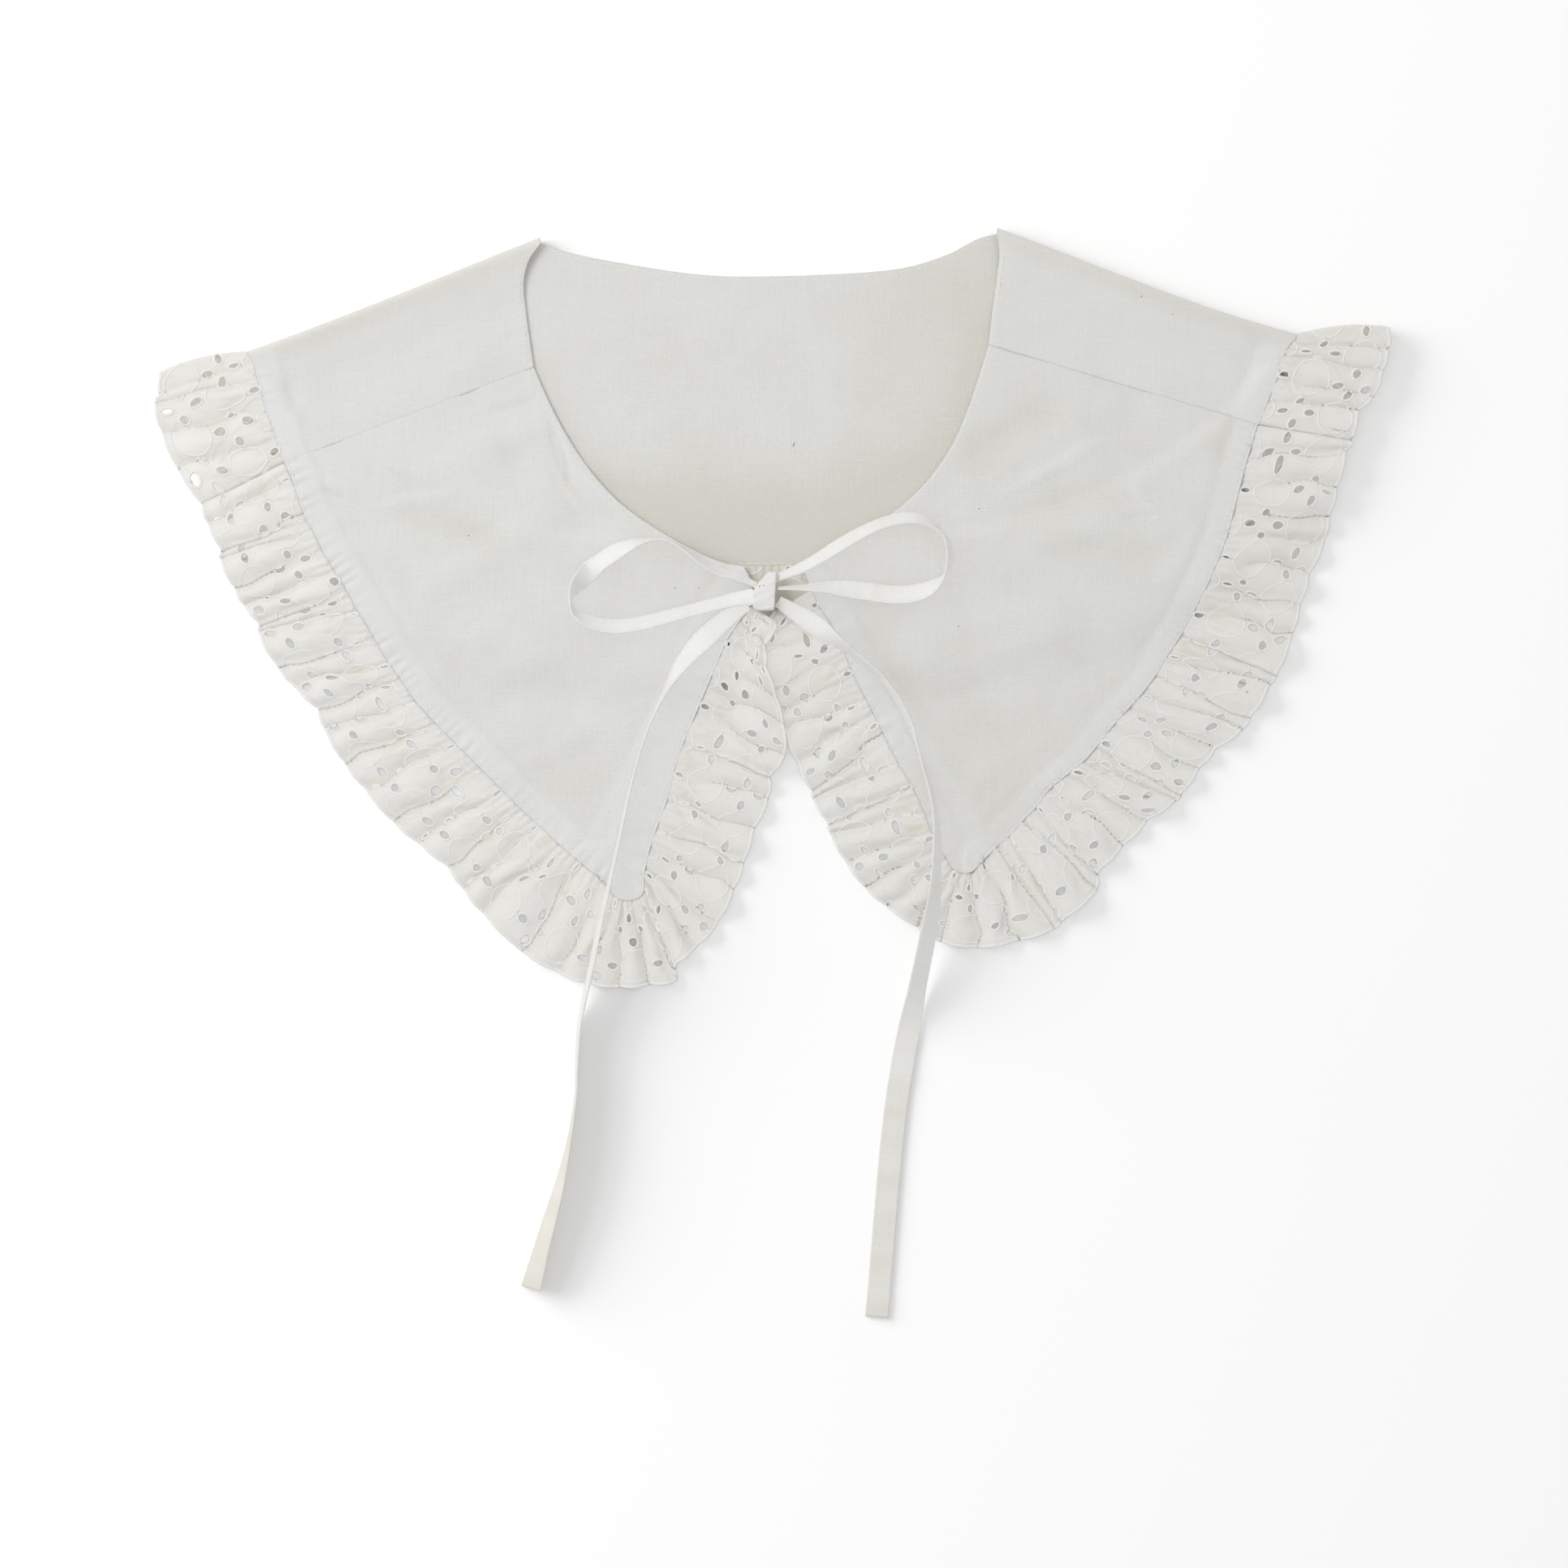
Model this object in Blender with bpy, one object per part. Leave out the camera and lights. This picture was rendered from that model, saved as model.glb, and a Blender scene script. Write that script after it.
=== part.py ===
"""Detachable cotton collar with pointed fronts and a gathered eyelet ruffle, laid flat on its back.

Lengths in the tables are millimetres, and objects are made in metres. +X is to the right and +Y is
towards the back of the neck, seen from above, and the collar rests on z = 0. The back panel lies on
the surface, is folded over at both shoulders and carries the two fronts. Each panel has its own strip
of ruffle. Two ties are knotted in a bow at the front, and their tails lie on the left and right fronts.
"""
import math
from collections import namedtuple

import bmesh
import bpy
from mathutils import Vector

MM = 0.001
CENTRE = Vector((-0.4, 0.0, 0.0))  # middle of the collar's outline in the tables' own coordinates

# Cloth
CLOTH = 1.0             # wall of the doubled cotton of the panels
LACE = 1.2              # wall of the gathered ruffle, straight up, so that its slopes keep 1 mm
GAP = 0.3               # between two pieces that touch
TIE_THICKNESS = 1.0
TIE_WIDTH = 7.5

# Shoulder folds
FOLD_RADIUS = 1.5       # middle of the wall round the fold
FOLD_SOFT = 18.0        # from the fold to where the cloth lies down
FOLD_TURNS = (45.0, 90.0, 135.0)
FOLD_SHARE = 0.2        # share of the neckline, from each fold, along which a folded edge sags

# Ruffle
BACK_LACE_WIDTH = 27.0
BACK_LACE_RISE = 1.0    # highest wave of the covered back strip
BACK_LACE_TURN = 25.0   # from a fold to where the back strip stands square to its seam
BACK_WAVE_START = 14.0  # from a fold to where its waves are full
BACK_WAVES = 24
GATHER_RISE = 0.9       # small gathers along the seams
GATHER_REACH = 0.35     # how far they run, as a share of the ruffle's width
AT_SEAM = 0.35          # height of a wave at the seam, as a share of its height at the free edge
WAVE_REACH = 0.62       # share of the ruffle's width by which a wave has its full height
LIFT_START = 0.3        # share of the width from which an edge is lifted on to the other ruffle
LIFT_REACH = 0.5
SCALLOP = 0.7           # how far the free edge rounds out between two creases
BANDS = (0.0, 0.1, 0.25, 0.42, 0.6, 0.82, 1.0)
BACK_BANDS = (0.0, 0.14, 0.4, 0.7, 1.0)
STEPS = (0.0, 0.25, 0.5, 0.75)

# Faces along and across the panels, and points on a smooth seam line for each crease
SEAM_POINTS = 8
BACK_ROWS = 26
OVER_ROWS = (0.0, 0.12, 0.3, 0.52, 0.76, 1.0)
BACK_COLUMNS = 7
NECK_ROWS = 10          # of a front, along its neck edge and again along its front seam
CORNER_ROWS = 2
FRONT_COLUMNS = 12

# What lies on the back strip clears it, and comes down to the surface beyond it
COVER_IN = 9.0          # inside the back seam, where the fronts start to rise over the ruffle
COVER_RISE = 6.0
COVER_OUT = 33.0        # outside the back seam, where they start to come down
COVER_FALL = 17.0

# Fold lines: neck edge, seam and free edge of the ruffle, with the way that the fold bulges
Fold = namedtuple("Fold", "neck seam edge out sag")
FOLD_LEFT = Fold(Vector((-76.5, 119.7)), Vector((-172.2, 82.4)), Vector((-201.4, 75.6)),
                 Vector((-0.29, 0.957)), 0.6)
FOLD_RIGHT = Fold(Vector((73.0, 122.8)), Vector((171.2, 88.0)), Vector((201.7, 90.5)),
                  Vector((0.13, 0.99)), 1.5)
SAG_SKEW = 1.6          # a panel's folded edge sags by sag, most towards the seam
FOLD_BULGE = 1.8        # the ruffle's folded edge is rounded out by this much halfway

# Edges of the back panel, from its left fold to its right fold
BACK_NECK = ((-76.5, 119.7), (-67.0, 116.5), (-55.0, 114.0), (-30.0, 110.0), (-13.0, 108.8),
             (18.5, 109.5), (42.0, 111.5), (57.0, 116.0), (67.0, 121.2), (73.0, 122.8))
BACK_SEAM = ((-172.2, 82.4), (-168.5, 72.0), (-155.0, 53.5), (-129.0, 35.0), (-89.0, 21.5),
             (-46.5, 15.2), (-2.5, 13.6), (41.5, 15.7), (84.5, 23.7), (124.5, 39.7),
             (153.5, 61.0), (166.0, 77.0), (171.2, 88.0))

# Neck edges on top, from each fold to the shoulder seam
OVER_NECK_LEFT = ((-76.5, 119.7), (-80.5, 114.0), (-82.3, 107.0), (-81.5, 97.0), (-79.0, 79.0))
OVER_NECK_RIGHT = ((73.0, 122.8), (74.0, 116.5), (73.3, 109.0), (71.8, 98.0), (70.5, 86.5))

# Neck edges of the fronts, from the shoulder seam to the corner, and down to where the ruffle starts
FRONT_NECK_LEFT = ((-79.0, 79.0), (-73.5, 66.5), (-67.0, 54.5), (-58.5, 42.5), (-49.0, 33.0),
                   (-35.0, 23.5), (-25.0, 18.0), (-17.0, 14.8), (-10.0, 13.4))
CORNER_LEFT = ((-10.0, 13.4), (-8.0, 9.5), (-7.2, 5.0), (-7.5, 0.5))
FRONT_NECK_RIGHT = ((70.5, 86.5), (65.0, 69.0), (59.0, 54.5), (51.0, 42.5), (42.5, 34.0),
                    (33.5, 27.5), (23.0, 20.5), (14.5, 14.5), (10.0, 11.5))
CORNER_RIGHT = ((10.0, 11.5), (11.0, 9.0), (12.0, 6.0))

# Ruffle folds: a crease runs from the seam to the free edge, and the lace arches up after it.
# rise is the arch's height at the free edge, lift how far that edge rides on the other ruffle.
Crease = namedtuple("Crease", "seam_x seam_y edge_x edge_y rise lift")
RUFFLE_LEFT = (
    Crease(-161.0, 47.5, -187.5, 34.0, 1.4, 0.0),
    Crease(-158.5, 42.0, -185.5, 27.5, 1.8, 0.0),
    Crease(-154.0, 29.0, -181.0, 19.0, 0.9, 0.0),
    Crease(-151.5, 25.0, -181.5, 15.5, 1.7, 0.0),
    Crease(-148.5, 18.5, -177.0, 6.5, 1.5, 0.0),
    Crease(-144.5, 12.0, -173.5, 0.5, 1.9, 0.0),
    Crease(-140.5, 5.5, -168.5, -5.0, 0.8, 0.0),
    Crease(-137.0, -1.0, -169.0, -8.5, 2.0, 0.0),
    Crease(-131.5, -10.0, -163.0, -19.0, 1.3, 0.0),
    Crease(-127.0, -18.0, -157.0, -26.0, 1.7, 0.0),
    Crease(-123.0, -23.5, -149.5, -33.0, 1.2, 0.0),
    Crease(-118.0, -31.0, -147.0, -40.5, 2.1, 0.0),
    Crease(-111.5, -38.0, -141.0, -50.5, 1.5, 0.0),
    Crease(-104.5, -45.0, -134.0, -59.5, 1.9, 0.0),
    Crease(-97.0, -52.5, -125.0, -70.0, 1.6, 0.0),
    Crease(-89.5, -60.0, -116.5, -77.0, 1.9, 0.0),
    Crease(-83.0, -66.5, -107.0, -84.5, 1.4, 0.0),
    Crease(-77.5, -71.5, -101.5, -92.5, 1.8, 0.0),
    Crease(-70.5, -78.0, -95.5, -100.0, 2.2, 0.0),
    Crease(-63.0, -84.5, -83.0, -112.5, 1.7, 0.0),
    Crease(-56.5, -90.0, -71.0, -119.5, 1.5, 0.0),
    Crease(-52.5, -95.0, -61.5, -123.0, 1.3, 0.0),
    Crease(-49.5, -96.5, -51.0, -124.5, 1.6, 0.0),
    Crease(-46.5, -96.5, -41.0, -123.5, 1.9, 0.0),
    Crease(-44.0, -95.5, -32.0, -122.5, 0.7, 0.0),
    Crease(-42.5, -93.0, -33.0, -117.0, 1.8, 0.0),
    Crease(-42.5, -89.5, -25.5, -111.0, 1.9, 0.0),
    Crease(-42.0, -85.5, -18.5, -103.0, 2.0, 0.0),
    Crease(-40.5, -79.0, -13.5, -92.5, 1.7, 0.0),
    Crease(-38.5, -73.0, -10.0, -83.0, 2.2, 0.0),
    Crease(-35.0, -63.5, -7.0, -73.0, 1.6, 0.0),
    Crease(-32.5, -53.5, -2.0, -62.5, 1.3, 0.0),
    Crease(-29.5, -44.5, -1.5, -55.0, 1.8, 0.4),
    Crease(-25.5, -35.0, 3.5, -48.5, 1.6, 1.6),
    Crease(-21.5, -25.5, 3.0, -38.5, 1.2, 2.3),
    Crease(-18.5, -18.5, 0.5, -29.5, 1.1, 2.3),
    Crease(-15.0, -10.5, -3.0, -19.5, 0.9, 2.3),
    Crease(-11.0, -4.5, -3.5, -12.5, 0.6, 2.3),
    Crease(-7.5, 0.5, 1.0, -4.5, 0.6, 2.3),
)
RUFFLE_RIGHT = (
    Crease(12.0, 6.0, 0.5, -1.0, 0.5, 0.0),
    Crease(15.0, -0.5, -5.0, -9.5, 0.5, 0.0),
    Crease(18.5, -5.5, -6.5, -17.5, 0.6, 0.0),
    Crease(23.0, -15.0, -3.0, -28.5, 0.6, 0.0),
    Crease(26.0, -22.5, 0.5, -35.0, 0.8, 0.0),
    Crease(30.0, -30.0, 4.0, -40.5, 1.4, 0.0),
    Crease(32.5, -35.0, 8.0, -51.0, 1.5, 0.0),
    Crease(36.0, -42.0, 12.5, -60.0, 1.1, 0.0),
    Crease(40.5, -51.0, 13.5, -63.0, 1.7, 0.0),
    Crease(45.5, -59.5, 18.0, -70.5, 1.0, 0.0),
    Crease(49.0, -67.0, 19.0, -74.5, 1.5, 0.0),
    Crease(51.5, -73.5, 24.0, -83.5, 1.6, 0.0),
    Crease(54.0, -78.5, 30.0, -91.5, 1.4, 0.0),
    Crease(56.5, -83.0, 37.0, -97.5, 1.5, 0.0),
    Crease(58.5, -86.0, 47.0, -104.5, 1.3, 0.0),
    Crease(61.5, -87.5, 55.0, -109.5, 1.6, 0.0),
    Crease(65.0, -87.0, 67.0, -111.5, 1.9, 0.0),
    Crease(68.5, -83.5, 80.5, -109.0, 1.6, 0.0),
    Crease(73.5, -78.5, 91.5, -105.5, 0.8, 0.0),
    Crease(77.5, -75.0, 94.5, -102.5, 1.9, 0.0),
    Crease(82.0, -70.0, 106.0, -93.0, 0.9, 0.0),
    Crease(86.0, -66.0, 106.0, -86.5, 1.8, 0.0),
    Crease(91.0, -59.5, 114.5, -78.0, 1.6, 0.0),
    Crease(96.5, -55.0, 122.5, -69.5, 2.0, 0.0),
    Crease(102.0, -50.5, 131.5, -63.5, 0.8, 0.0),
    Crease(106.0, -46.0, 133.5, -61.0, 1.5, 0.0),
    Crease(111.5, -39.0, 139.5, -52.5, 1.8, 0.0),
    Crease(117.0, -33.0, 145.0, -46.0, 1.9, 0.0),
    Crease(121.0, -28.5, 153.0, -40.5, 1.1, 0.0),
    Crease(125.5, -22.5, 156.5, -35.5, 1.9, 0.0),
    Crease(129.5, -16.0, 162.5, -25.5, 1.0, 0.0),
    Crease(134.0, -9.0, 165.0, -21.5, 1.9, 0.0),
    Crease(138.5, -0.5, 170.0, -8.5, 1.6, 0.0),
    Crease(143.0, 8.5, 172.5, 1.0, 1.9, 0.0),
    Crease(146.5, 16.5, 175.5, 11.0, 1.6, 0.0),
    Crease(149.0, 23.5, 180.5, 22.0, 1.5, 0.0),
    Crease(151.0, 31.0, 182.0, 30.0, 1.7, 0.0),
    Crease(153.5, 41.0, 184.5, 39.5, 1.6, 0.0),
    Crease(156.0, 50.0, 187.5, 51.5, 1.4, 0.0),
    Crease(159.0, 60.0, 189.5, 55.0, 1.2, 0.0),
)
# The back strip's ends lie on top, from each fold to the shoulder seam
RUFFLE_BACK_LEFT = (
    Crease(-171.0, 80.5, -201.5, 70.0, 0.4, 0.0),
    Crease(-169.5, 75.0, -203.0, 66.5, 1.1, 0.0),
    Crease(-166.5, 64.0, -200.5, 57.0, 1.5, 0.0),
    Crease(-163.5, 55.5, -195.5, 45.5, 1.6, 0.0),
    Crease(-161.0, 47.5, -187.5, 34.0, 1.4, 0.0),
)
RUFFLE_BACK_RIGHT = (
    Crease(169.5, 86.5, 201.5, 85.0, 0.4, 0.0),
    Crease(167.5, 83.0, 199.5, 77.5, 0.9, 0.0),
    Crease(165.0, 75.0, 196.5, 69.0, 1.2, 0.0),
    Crease(162.0, 67.5, 191.5, 65.0, 1.3, 0.0),
    Crease(159.0, 60.0, 189.5, 55.0, 1.2, 0.0),
)
TIP_LEFT = (20, 25)     # creases where the left front's blunt point starts and ends
TIP_RIGHT = (13, 17)

# Soft folds that stand up from the fronts
Ridge = namedtuple("Ridge", "x0 y0 x1 y1 reach height")
RIDGES_LEFT = (
    Ridge(-120.0, 42.0, -78.0, 60.0, 8.0, 0.8),
    Ridge(-112.0, 8.0, -66.0, 34.0, 8.0, 1.0),
    Ridge(-96.0, -26.0, -60.0, -12.0, 7.0, 0.9),
    Ridge(-84.0, -54.0, -62.0, -40.0, 6.0, 0.8),
    Ridge(-138.0, 22.0, -124.0, 12.0, 5.0, 0.8),
)
RIDGES_RIGHT = (
    Ridge(64.0, 46.0, 112.0, 66.0, 8.0, 0.9),
    Ridge(72.0, 13.0, 108.0, 29.0, 9.0, 1.0),
    Ridge(62.0, -22.0, 96.0, -4.0, 7.0, 0.8),
    Ridge(68.0, -54.0, 88.0, -44.0, 6.0, 0.8),
    Ridge(126.0, 8.0, 138.0, 22.0, 5.0, 0.7),
)

# Ties: low is the height of the lower edge, tilt turns the band from flat (0) to on edge (90). From 0
# to 90 the edge to the left of the way is the raised one, below 0 or above 90 the edge to its right.
Band = namedtuple("Band", "x y low tilt width")
LOOP_LEFT = (
    Band(-8.0, 8.2, 4.7, 50.0, 3.0),
    Band(-12.5, 9.9, 4.3, 58.0, 4.6),
    Band(-17.5, 11.6, 4.0, 62.0, 6.4),
    Band(-22.5, 14.2, 3.9, 68.0, TIE_WIDTH),
    Band(-28.5, 18.4, 3.9, 78.0, TIE_WIDTH),
    Band(-32.5, 20.8, 3.6, 84.0, TIE_WIDTH),
    Band(-37.0, 22.2, 3.4, 88.0, TIE_WIDTH),
    Band(-42.5, 21.8, 3.4, 78.0, TIE_WIDTH),
    Band(-47.5, 20.2, 3.7, 60.0, TIE_WIDTH),
    Band(-52.5, 17.8, 3.9, 42.0, TIE_WIDTH),
    Band(-57.3, 14.6, 3.9, 34.0, 6.8),
    Band(-62.0, 10.4, 3.9, -28.0, 6.8),
    Band(-65.4, 6.0, 3.9, -62.0, TIE_WIDTH),
    Band(-66.8, 2.0, 3.9, -88.0, TIE_WIDTH),
    Band(-65.4, -1.6, 4.0, -74.0, TIE_WIDTH),
    Band(-61.5, -4.3, 4.3, -60.0, TIE_WIDTH),
    Band(-56.0, -5.9, 4.1, -53.0, TIE_WIDTH),
    Band(-50.5, -6.2, 3.9, -52.0, TIE_WIDTH),
    Band(-43.5, -5.2, 3.9, -54.0, TIE_WIDTH),
    Band(-36.0, -3.3, 3.9, -56.0, TIE_WIDTH),
    Band(-27.0, -0.9, 4.2, -58.0, TIE_WIDTH),
    Band(-19.0, 1.1, 5.4, -54.0, 6.8),
    Band(-13.0, 2.5, 6.3, -40.0, 6.0),
    Band(-7.8, 3.3, 7.4, -16.0, 5.6),
)
LOOP_RIGHT = (
    Band(1.3, 9.9, 5.2, 134.0, 3.4),
    Band(4.8, 11.2, 4.8, 128.0, 4.8),
    Band(9.5, 13.2, 4.3, 123.0, 6.4),
    Band(14.6, 16.0, 3.9, 121.0, TIE_WIDTH),
    Band(20.6, 19.8, 3.9, 124.0, TIE_WIDTH),
    Band(26.5, 23.3, 3.4, 123.0, TIE_WIDTH),
    Band(32.0, 26.1, 3.2, 120.0, TIE_WIDTH),
    Band(37.5, 28.2, 3.1, 121.0, TIE_WIDTH),
    Band(42.5, 29.3, 3.0, 121.0, TIE_WIDTH),
    Band(47.5, 29.0, 3.0, 115.0, TIE_WIDTH),
    Band(52.0, 27.0, 3.2, 106.0, TIE_WIDTH),
    Band(55.4, 23.8, 3.4, 94.0, TIE_WIDTH),
    Band(57.2, 20.0, 3.8, 104.0, TIE_WIDTH),
    Band(57.6, 15.6, 3.9, 106.0, TIE_WIDTH),
    Band(56.4, 11.6, 3.9, 96.0, TIE_WIDTH),
    Band(53.2, 8.0, 3.9, 66.0, TIE_WIDTH),
    Band(49.0, 5.5, 3.9, 44.0, TIE_WIDTH),
    Band(44.0, 4.3, 3.9, 38.0, TIE_WIDTH),
    Band(38.0, 4.2, 3.9, 37.0, TIE_WIDTH),
    Band(31.0, 5.1, 3.9, 37.0, TIE_WIDTH),
    Band(24.0, 6.0, 3.9, 42.0, TIE_WIDTH),
    Band(17.0, 6.6, 4.1, 54.0, 6.6),
    Band(10.0, 6.5, 4.7, 66.0, 4.8),
    Band(5.0, 6.4, 5.5, 71.0, 3.4),
    Band(1.2, 6.3, 6.0, 74.0, 2.8),
)
TAIL_LEFT = (
    Band(-8.8, 1.0, 4.8, 4.0, 4.4),
    Band(-12.5, -1.3, 4.3, 4.0, 5.2),
    Band(-17.0, -4.9, 3.9, 6.0, 6.2),
    Band(-21.5, -8.9, 3.9, 16.0, 7.2),
    Band(-26.3, -13.8, 3.9, 34.0, TIE_WIDTH),
    Band(-31.0, -19.6, 3.9, 55.0, TIE_WIDTH),
    Band(-35.3, -26.8, 3.1, 77.0, TIE_WIDTH),
    Band(-39.4, -35.0, 2.0, 86.0, TIE_WIDTH),
    Band(-43.2, -45.0, 1.5, 88.0, TIE_WIDTH),
    Band(-46.4, -56.0, 1.4, 87.0, TIE_WIDTH),
    Band(-49.0, -67.0, 1.4, 84.0, TIE_WIDTH),
    Band(-51.4, -78.5, 1.6, 84.0, TIE_WIDTH),
    Band(-54.0, -90.0, 2.3, 82.0, TIE_WIDTH),
    Band(-57.0, -103.0, 2.8, 78.0, TIE_WIDTH),
    Band(-59.6, -116.0, 2.4, 78.0, TIE_WIDTH),
    Band(-62.0, -127.0, 1.4, 79.0, TIE_WIDTH),
    Band(-63.8, -136.0, 0.2, 81.0, TIE_WIDTH),
    Band(-64.6, -147.0, 0.0, 83.0, TIE_WIDTH),
    Band(-65.0, -159.0, 0.0, 85.0, TIE_WIDTH),
    Band(-66.5, -171.0, 0.0, 82.0, TIE_WIDTH),
    Band(-68.4, -181.0, 0.0, 75.0, TIE_WIDTH),
    Band(-71.0, -192.0, 0.0, 63.0, TIE_WIDTH),
    Band(-74.2, -203.0, 0.0, 53.0, TIE_WIDTH),
    Band(-77.0, -213.0, 0.0, 44.0, TIE_WIDTH),
    Band(-79.8, -223.6, 0.0, 26.0, TIE_WIDTH),
)
TAIL_RIGHT = (
    Band(1.2, 2.0, 5.6, 10.0, 3.9),
    Band(5.0, -0.4, 5.2, 10.0, 5.0),
    Band(9.4, -3.2, 4.9, 14.0, 6.2),
    Band(13.4, -5.9, 4.7, 26.0, 7.0),
    Band(16.8, -8.3, 4.9, 46.0, TIE_WIDTH),
    Band(20.2, -10.9, 5.1, 64.0, TIE_WIDTH),
    Band(23.6, -13.4, 4.9, 73.0, TIE_WIDTH),
    Band(27.4, -16.3, 4.1, 76.0, TIE_WIDTH),
    Band(32.4, -20.4, 3.7, 78.0, TIE_WIDTH),
    Band(36.8, -25.0, 3.1, 80.0, TIE_WIDTH),
    Band(40.6, -30.4, 2.2, 78.0, TIE_WIDTH),
    Band(44.7, -38.4, 1.5, 82.0, TIE_WIDTH),
    Band(46.9, -45.4, 1.4, 89.0, TIE_WIDTH),
    Band(49.0, -52.5, 1.4, 95.0, TIE_WIDTH),
    Band(51.4, -60.0, 1.4, 100.0, TIE_WIDTH),
    Band(52.8, -67.5, 1.5, 102.0, TIE_WIDTH),
    Band(53.3, -75.0, 2.0, 107.0, TIE_WIDTH),
    Band(53.3, -82.5, 2.8, 112.0, TIE_WIDTH),
    Band(52.8, -91.0, 2.8, 117.0, TIE_WIDTH),
    Band(51.8, -99.7, 2.9, 129.0, TIE_WIDTH),
    Band(50.4, -107.5, 2.6, 136.0, TIE_WIDTH),
    Band(48.8, -115.5, 1.8, 138.0, TIE_WIDTH),
    Band(47.2, -123.5, 0.7, 140.0, TIE_WIDTH),
    Band(45.8, -131.0, 0.0, 152.0, TIE_WIDTH),
    Band(44.2, -139.0, 0.0, 170.0, TIE_WIDTH),
    Band(42.4, -148.5, 0.0, 180.0, TIE_WIDTH),
    Band(40.4, -161.0, 0.0, 180.0, TIE_WIDTH),
    Band(38.6, -176.0, 0.0, 180.0, TIE_WIDTH),
    Band(37.2, -191.0, 0.0, 180.0, TIE_WIDTH),
    Band(35.9, -206.5, 0.0, 180.0, TIE_WIDTH),
    Band(34.7, -221.0, 0.0, 180.0, TIE_WIDTH),
    Band(33.6, -233.0, 0.0, 180.0, TIE_WIDTH),
)
KnotRing = namedtuple("KnotRing", "y left right low high")
KNOT = (
    KnotRing(-1.0, -5.6, -0.3, 5.8, 8.4),
    KnotRing(-0.4, -6.6, 0.0, 5.1, 9.2),
    KnotRing(1.5, -7.2, 0.2, 4.8, 9.8),
    KnotRing(4.5, -7.2, 0.3, 4.8, 10.0),
    KnotRing(7.5, -5.6, 0.5, 4.8, 10.0),
    KnotRing(9.8, -3.6, 0.6, 4.8, 9.7),
    KnotRing(11.0, -2.6, 0.6, 5.1, 9.2),
    KnotRing(11.6, -1.9, 0.4, 5.8, 8.4),
)
KNOT_RING_POINTS = 16
KNOT_SQUARENESS = 0.6   # 1 is an ellipse, 0 a rectangle

WHITE = (0.87, 0.87, 0.85, 1.0)


def lerp(a, b, t):
    return a + (b - a) * t


def ease(t):
    t = min(max(t, 0.0), 1.0)
    return t * t * (3.0 - 2.0 * t)


def smooth(points, per_span):
    """Points on a smooth curve through the given ones, of any dimension, per_span for each span."""
    points = [Vector(p) for p in points]
    spans = [(b - a).length for a, b in zip(points, points[1:])]
    slopes = [(points[1] - points[0]) / spans[0]]
    for i in range(1, len(points) - 1):
        slopes.append((points[i + 1] - points[i - 1]) / (spans[i] + spans[i - 1]))
    slopes.append((points[-1] - points[-2]) / spans[-1])
    result = []
    for i, span in enumerate(spans):
        for k in range(per_span):
            t = k / per_span
            t2, t3 = t * t, t * t * t
            result.append(points[i] * (2 * t3 - 3 * t2 + 1) + slopes[i] * span * (t3 - 2 * t2 + t)
                          + points[i + 1] * (3 * t2 - 2 * t3) + slopes[i + 1] * span * (t3 - t2))
    result.append(points[-1])
    return result


class Line:
    """A smooth plane curve that is read by its share of length."""

    def __init__(self, points, per_span=8):
        self.points = smooth(points, per_span)
        self.lengths = [0.0]
        for a, b in zip(self.points, self.points[1:]):
            self.lengths.append(self.lengths[-1] + (b - a).length)
        self.length = self.lengths[-1]

    def at(self, share):
        target = share * self.length
        for i in range(1, len(self.points)):
            if self.lengths[i] >= target or i == len(self.points) - 1:
                span = self.lengths[i] - self.lengths[i - 1]
                t = min((target - self.lengths[i - 1]) / span, 1.0)
                return lerp(self.points[i - 1], self.points[i], t)

    def side(self, share):
        """Unit normal to the right of the way along the curve."""
        step = 0.5 / self.length
        way = self.at(min(share + step, 1.0)) - self.at(max(share - step, 0.0))
        return Vector((way.y, -way.x)).normalized()

    def distance(self, point):
        return min(distance_to_span(point, a, b) for a, b in zip(self.points, self.points[1:]))


def distance_to_span(point, a, b):
    way = b - a
    t = min(max((point - a).dot(way) / way.length_squared, 0.0), 1.0)
    return (point - a - way * t).length


def inside(point, outline):
    """Whether a point is inside a closed outline."""
    crossings = 0
    for a, b in zip(outline, outline[1:] + outline[:1]):
        if (a.y > point.y) != (b.y > point.y):
            if point.x < a.x + (point.y - a.y) * (b.x - a.x) / (b.y - a.y):
                crossings += 1
    return crossings % 2 == 1


NECK_LINE = Line(BACK_NECK)
SEAM_LINE = Line(BACK_SEAM, 4)
BACK_OUTLINE = NECK_LINE.points + SEAM_LINE.points[::-1]


def fold_distance(point):
    fold = FOLD_LEFT if point.x < 0 else FOLD_RIGHT
    return min(distance_to_span(point, fold.neck, fold.seam),
               distance_to_span(point, fold.seam, fold.edge))


def rest(x, y):
    """Height of the underside of what lies on the back panel and its ruffle, or on the surface."""
    point = Vector((x, y))
    away = SEAM_LINE.distance(point)
    on_panel = CLOTH + GAP
    on_lace = LACE + BACK_LACE_RISE + GAP
    if inside(point, BACK_OUTLINE):
        height = lerp(on_panel, on_lace, ease((COVER_IN - away) / COVER_RISE))
    else:
        height = on_lace * (1.0 - ease((away - COVER_OUT) / COVER_FALL))
    at_fold = 2.0 * FOLD_RADIUS
    return lerp(at_fold, height, ease(fold_distance(point) / FOLD_SOFT))


def ridge_height(x, y, ridges):
    """Height of the soft folds at a point."""
    point = Vector((x, y))
    total = 0.0
    for ridge in ridges:
        a = Vector((ridge.x0, ridge.y0))
        b = Vector((ridge.x1, ridge.y1))
        total += ridge.height * (1.0 - ease(distance_to_span(point, a, b) / ridge.reach))
    return total


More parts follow.
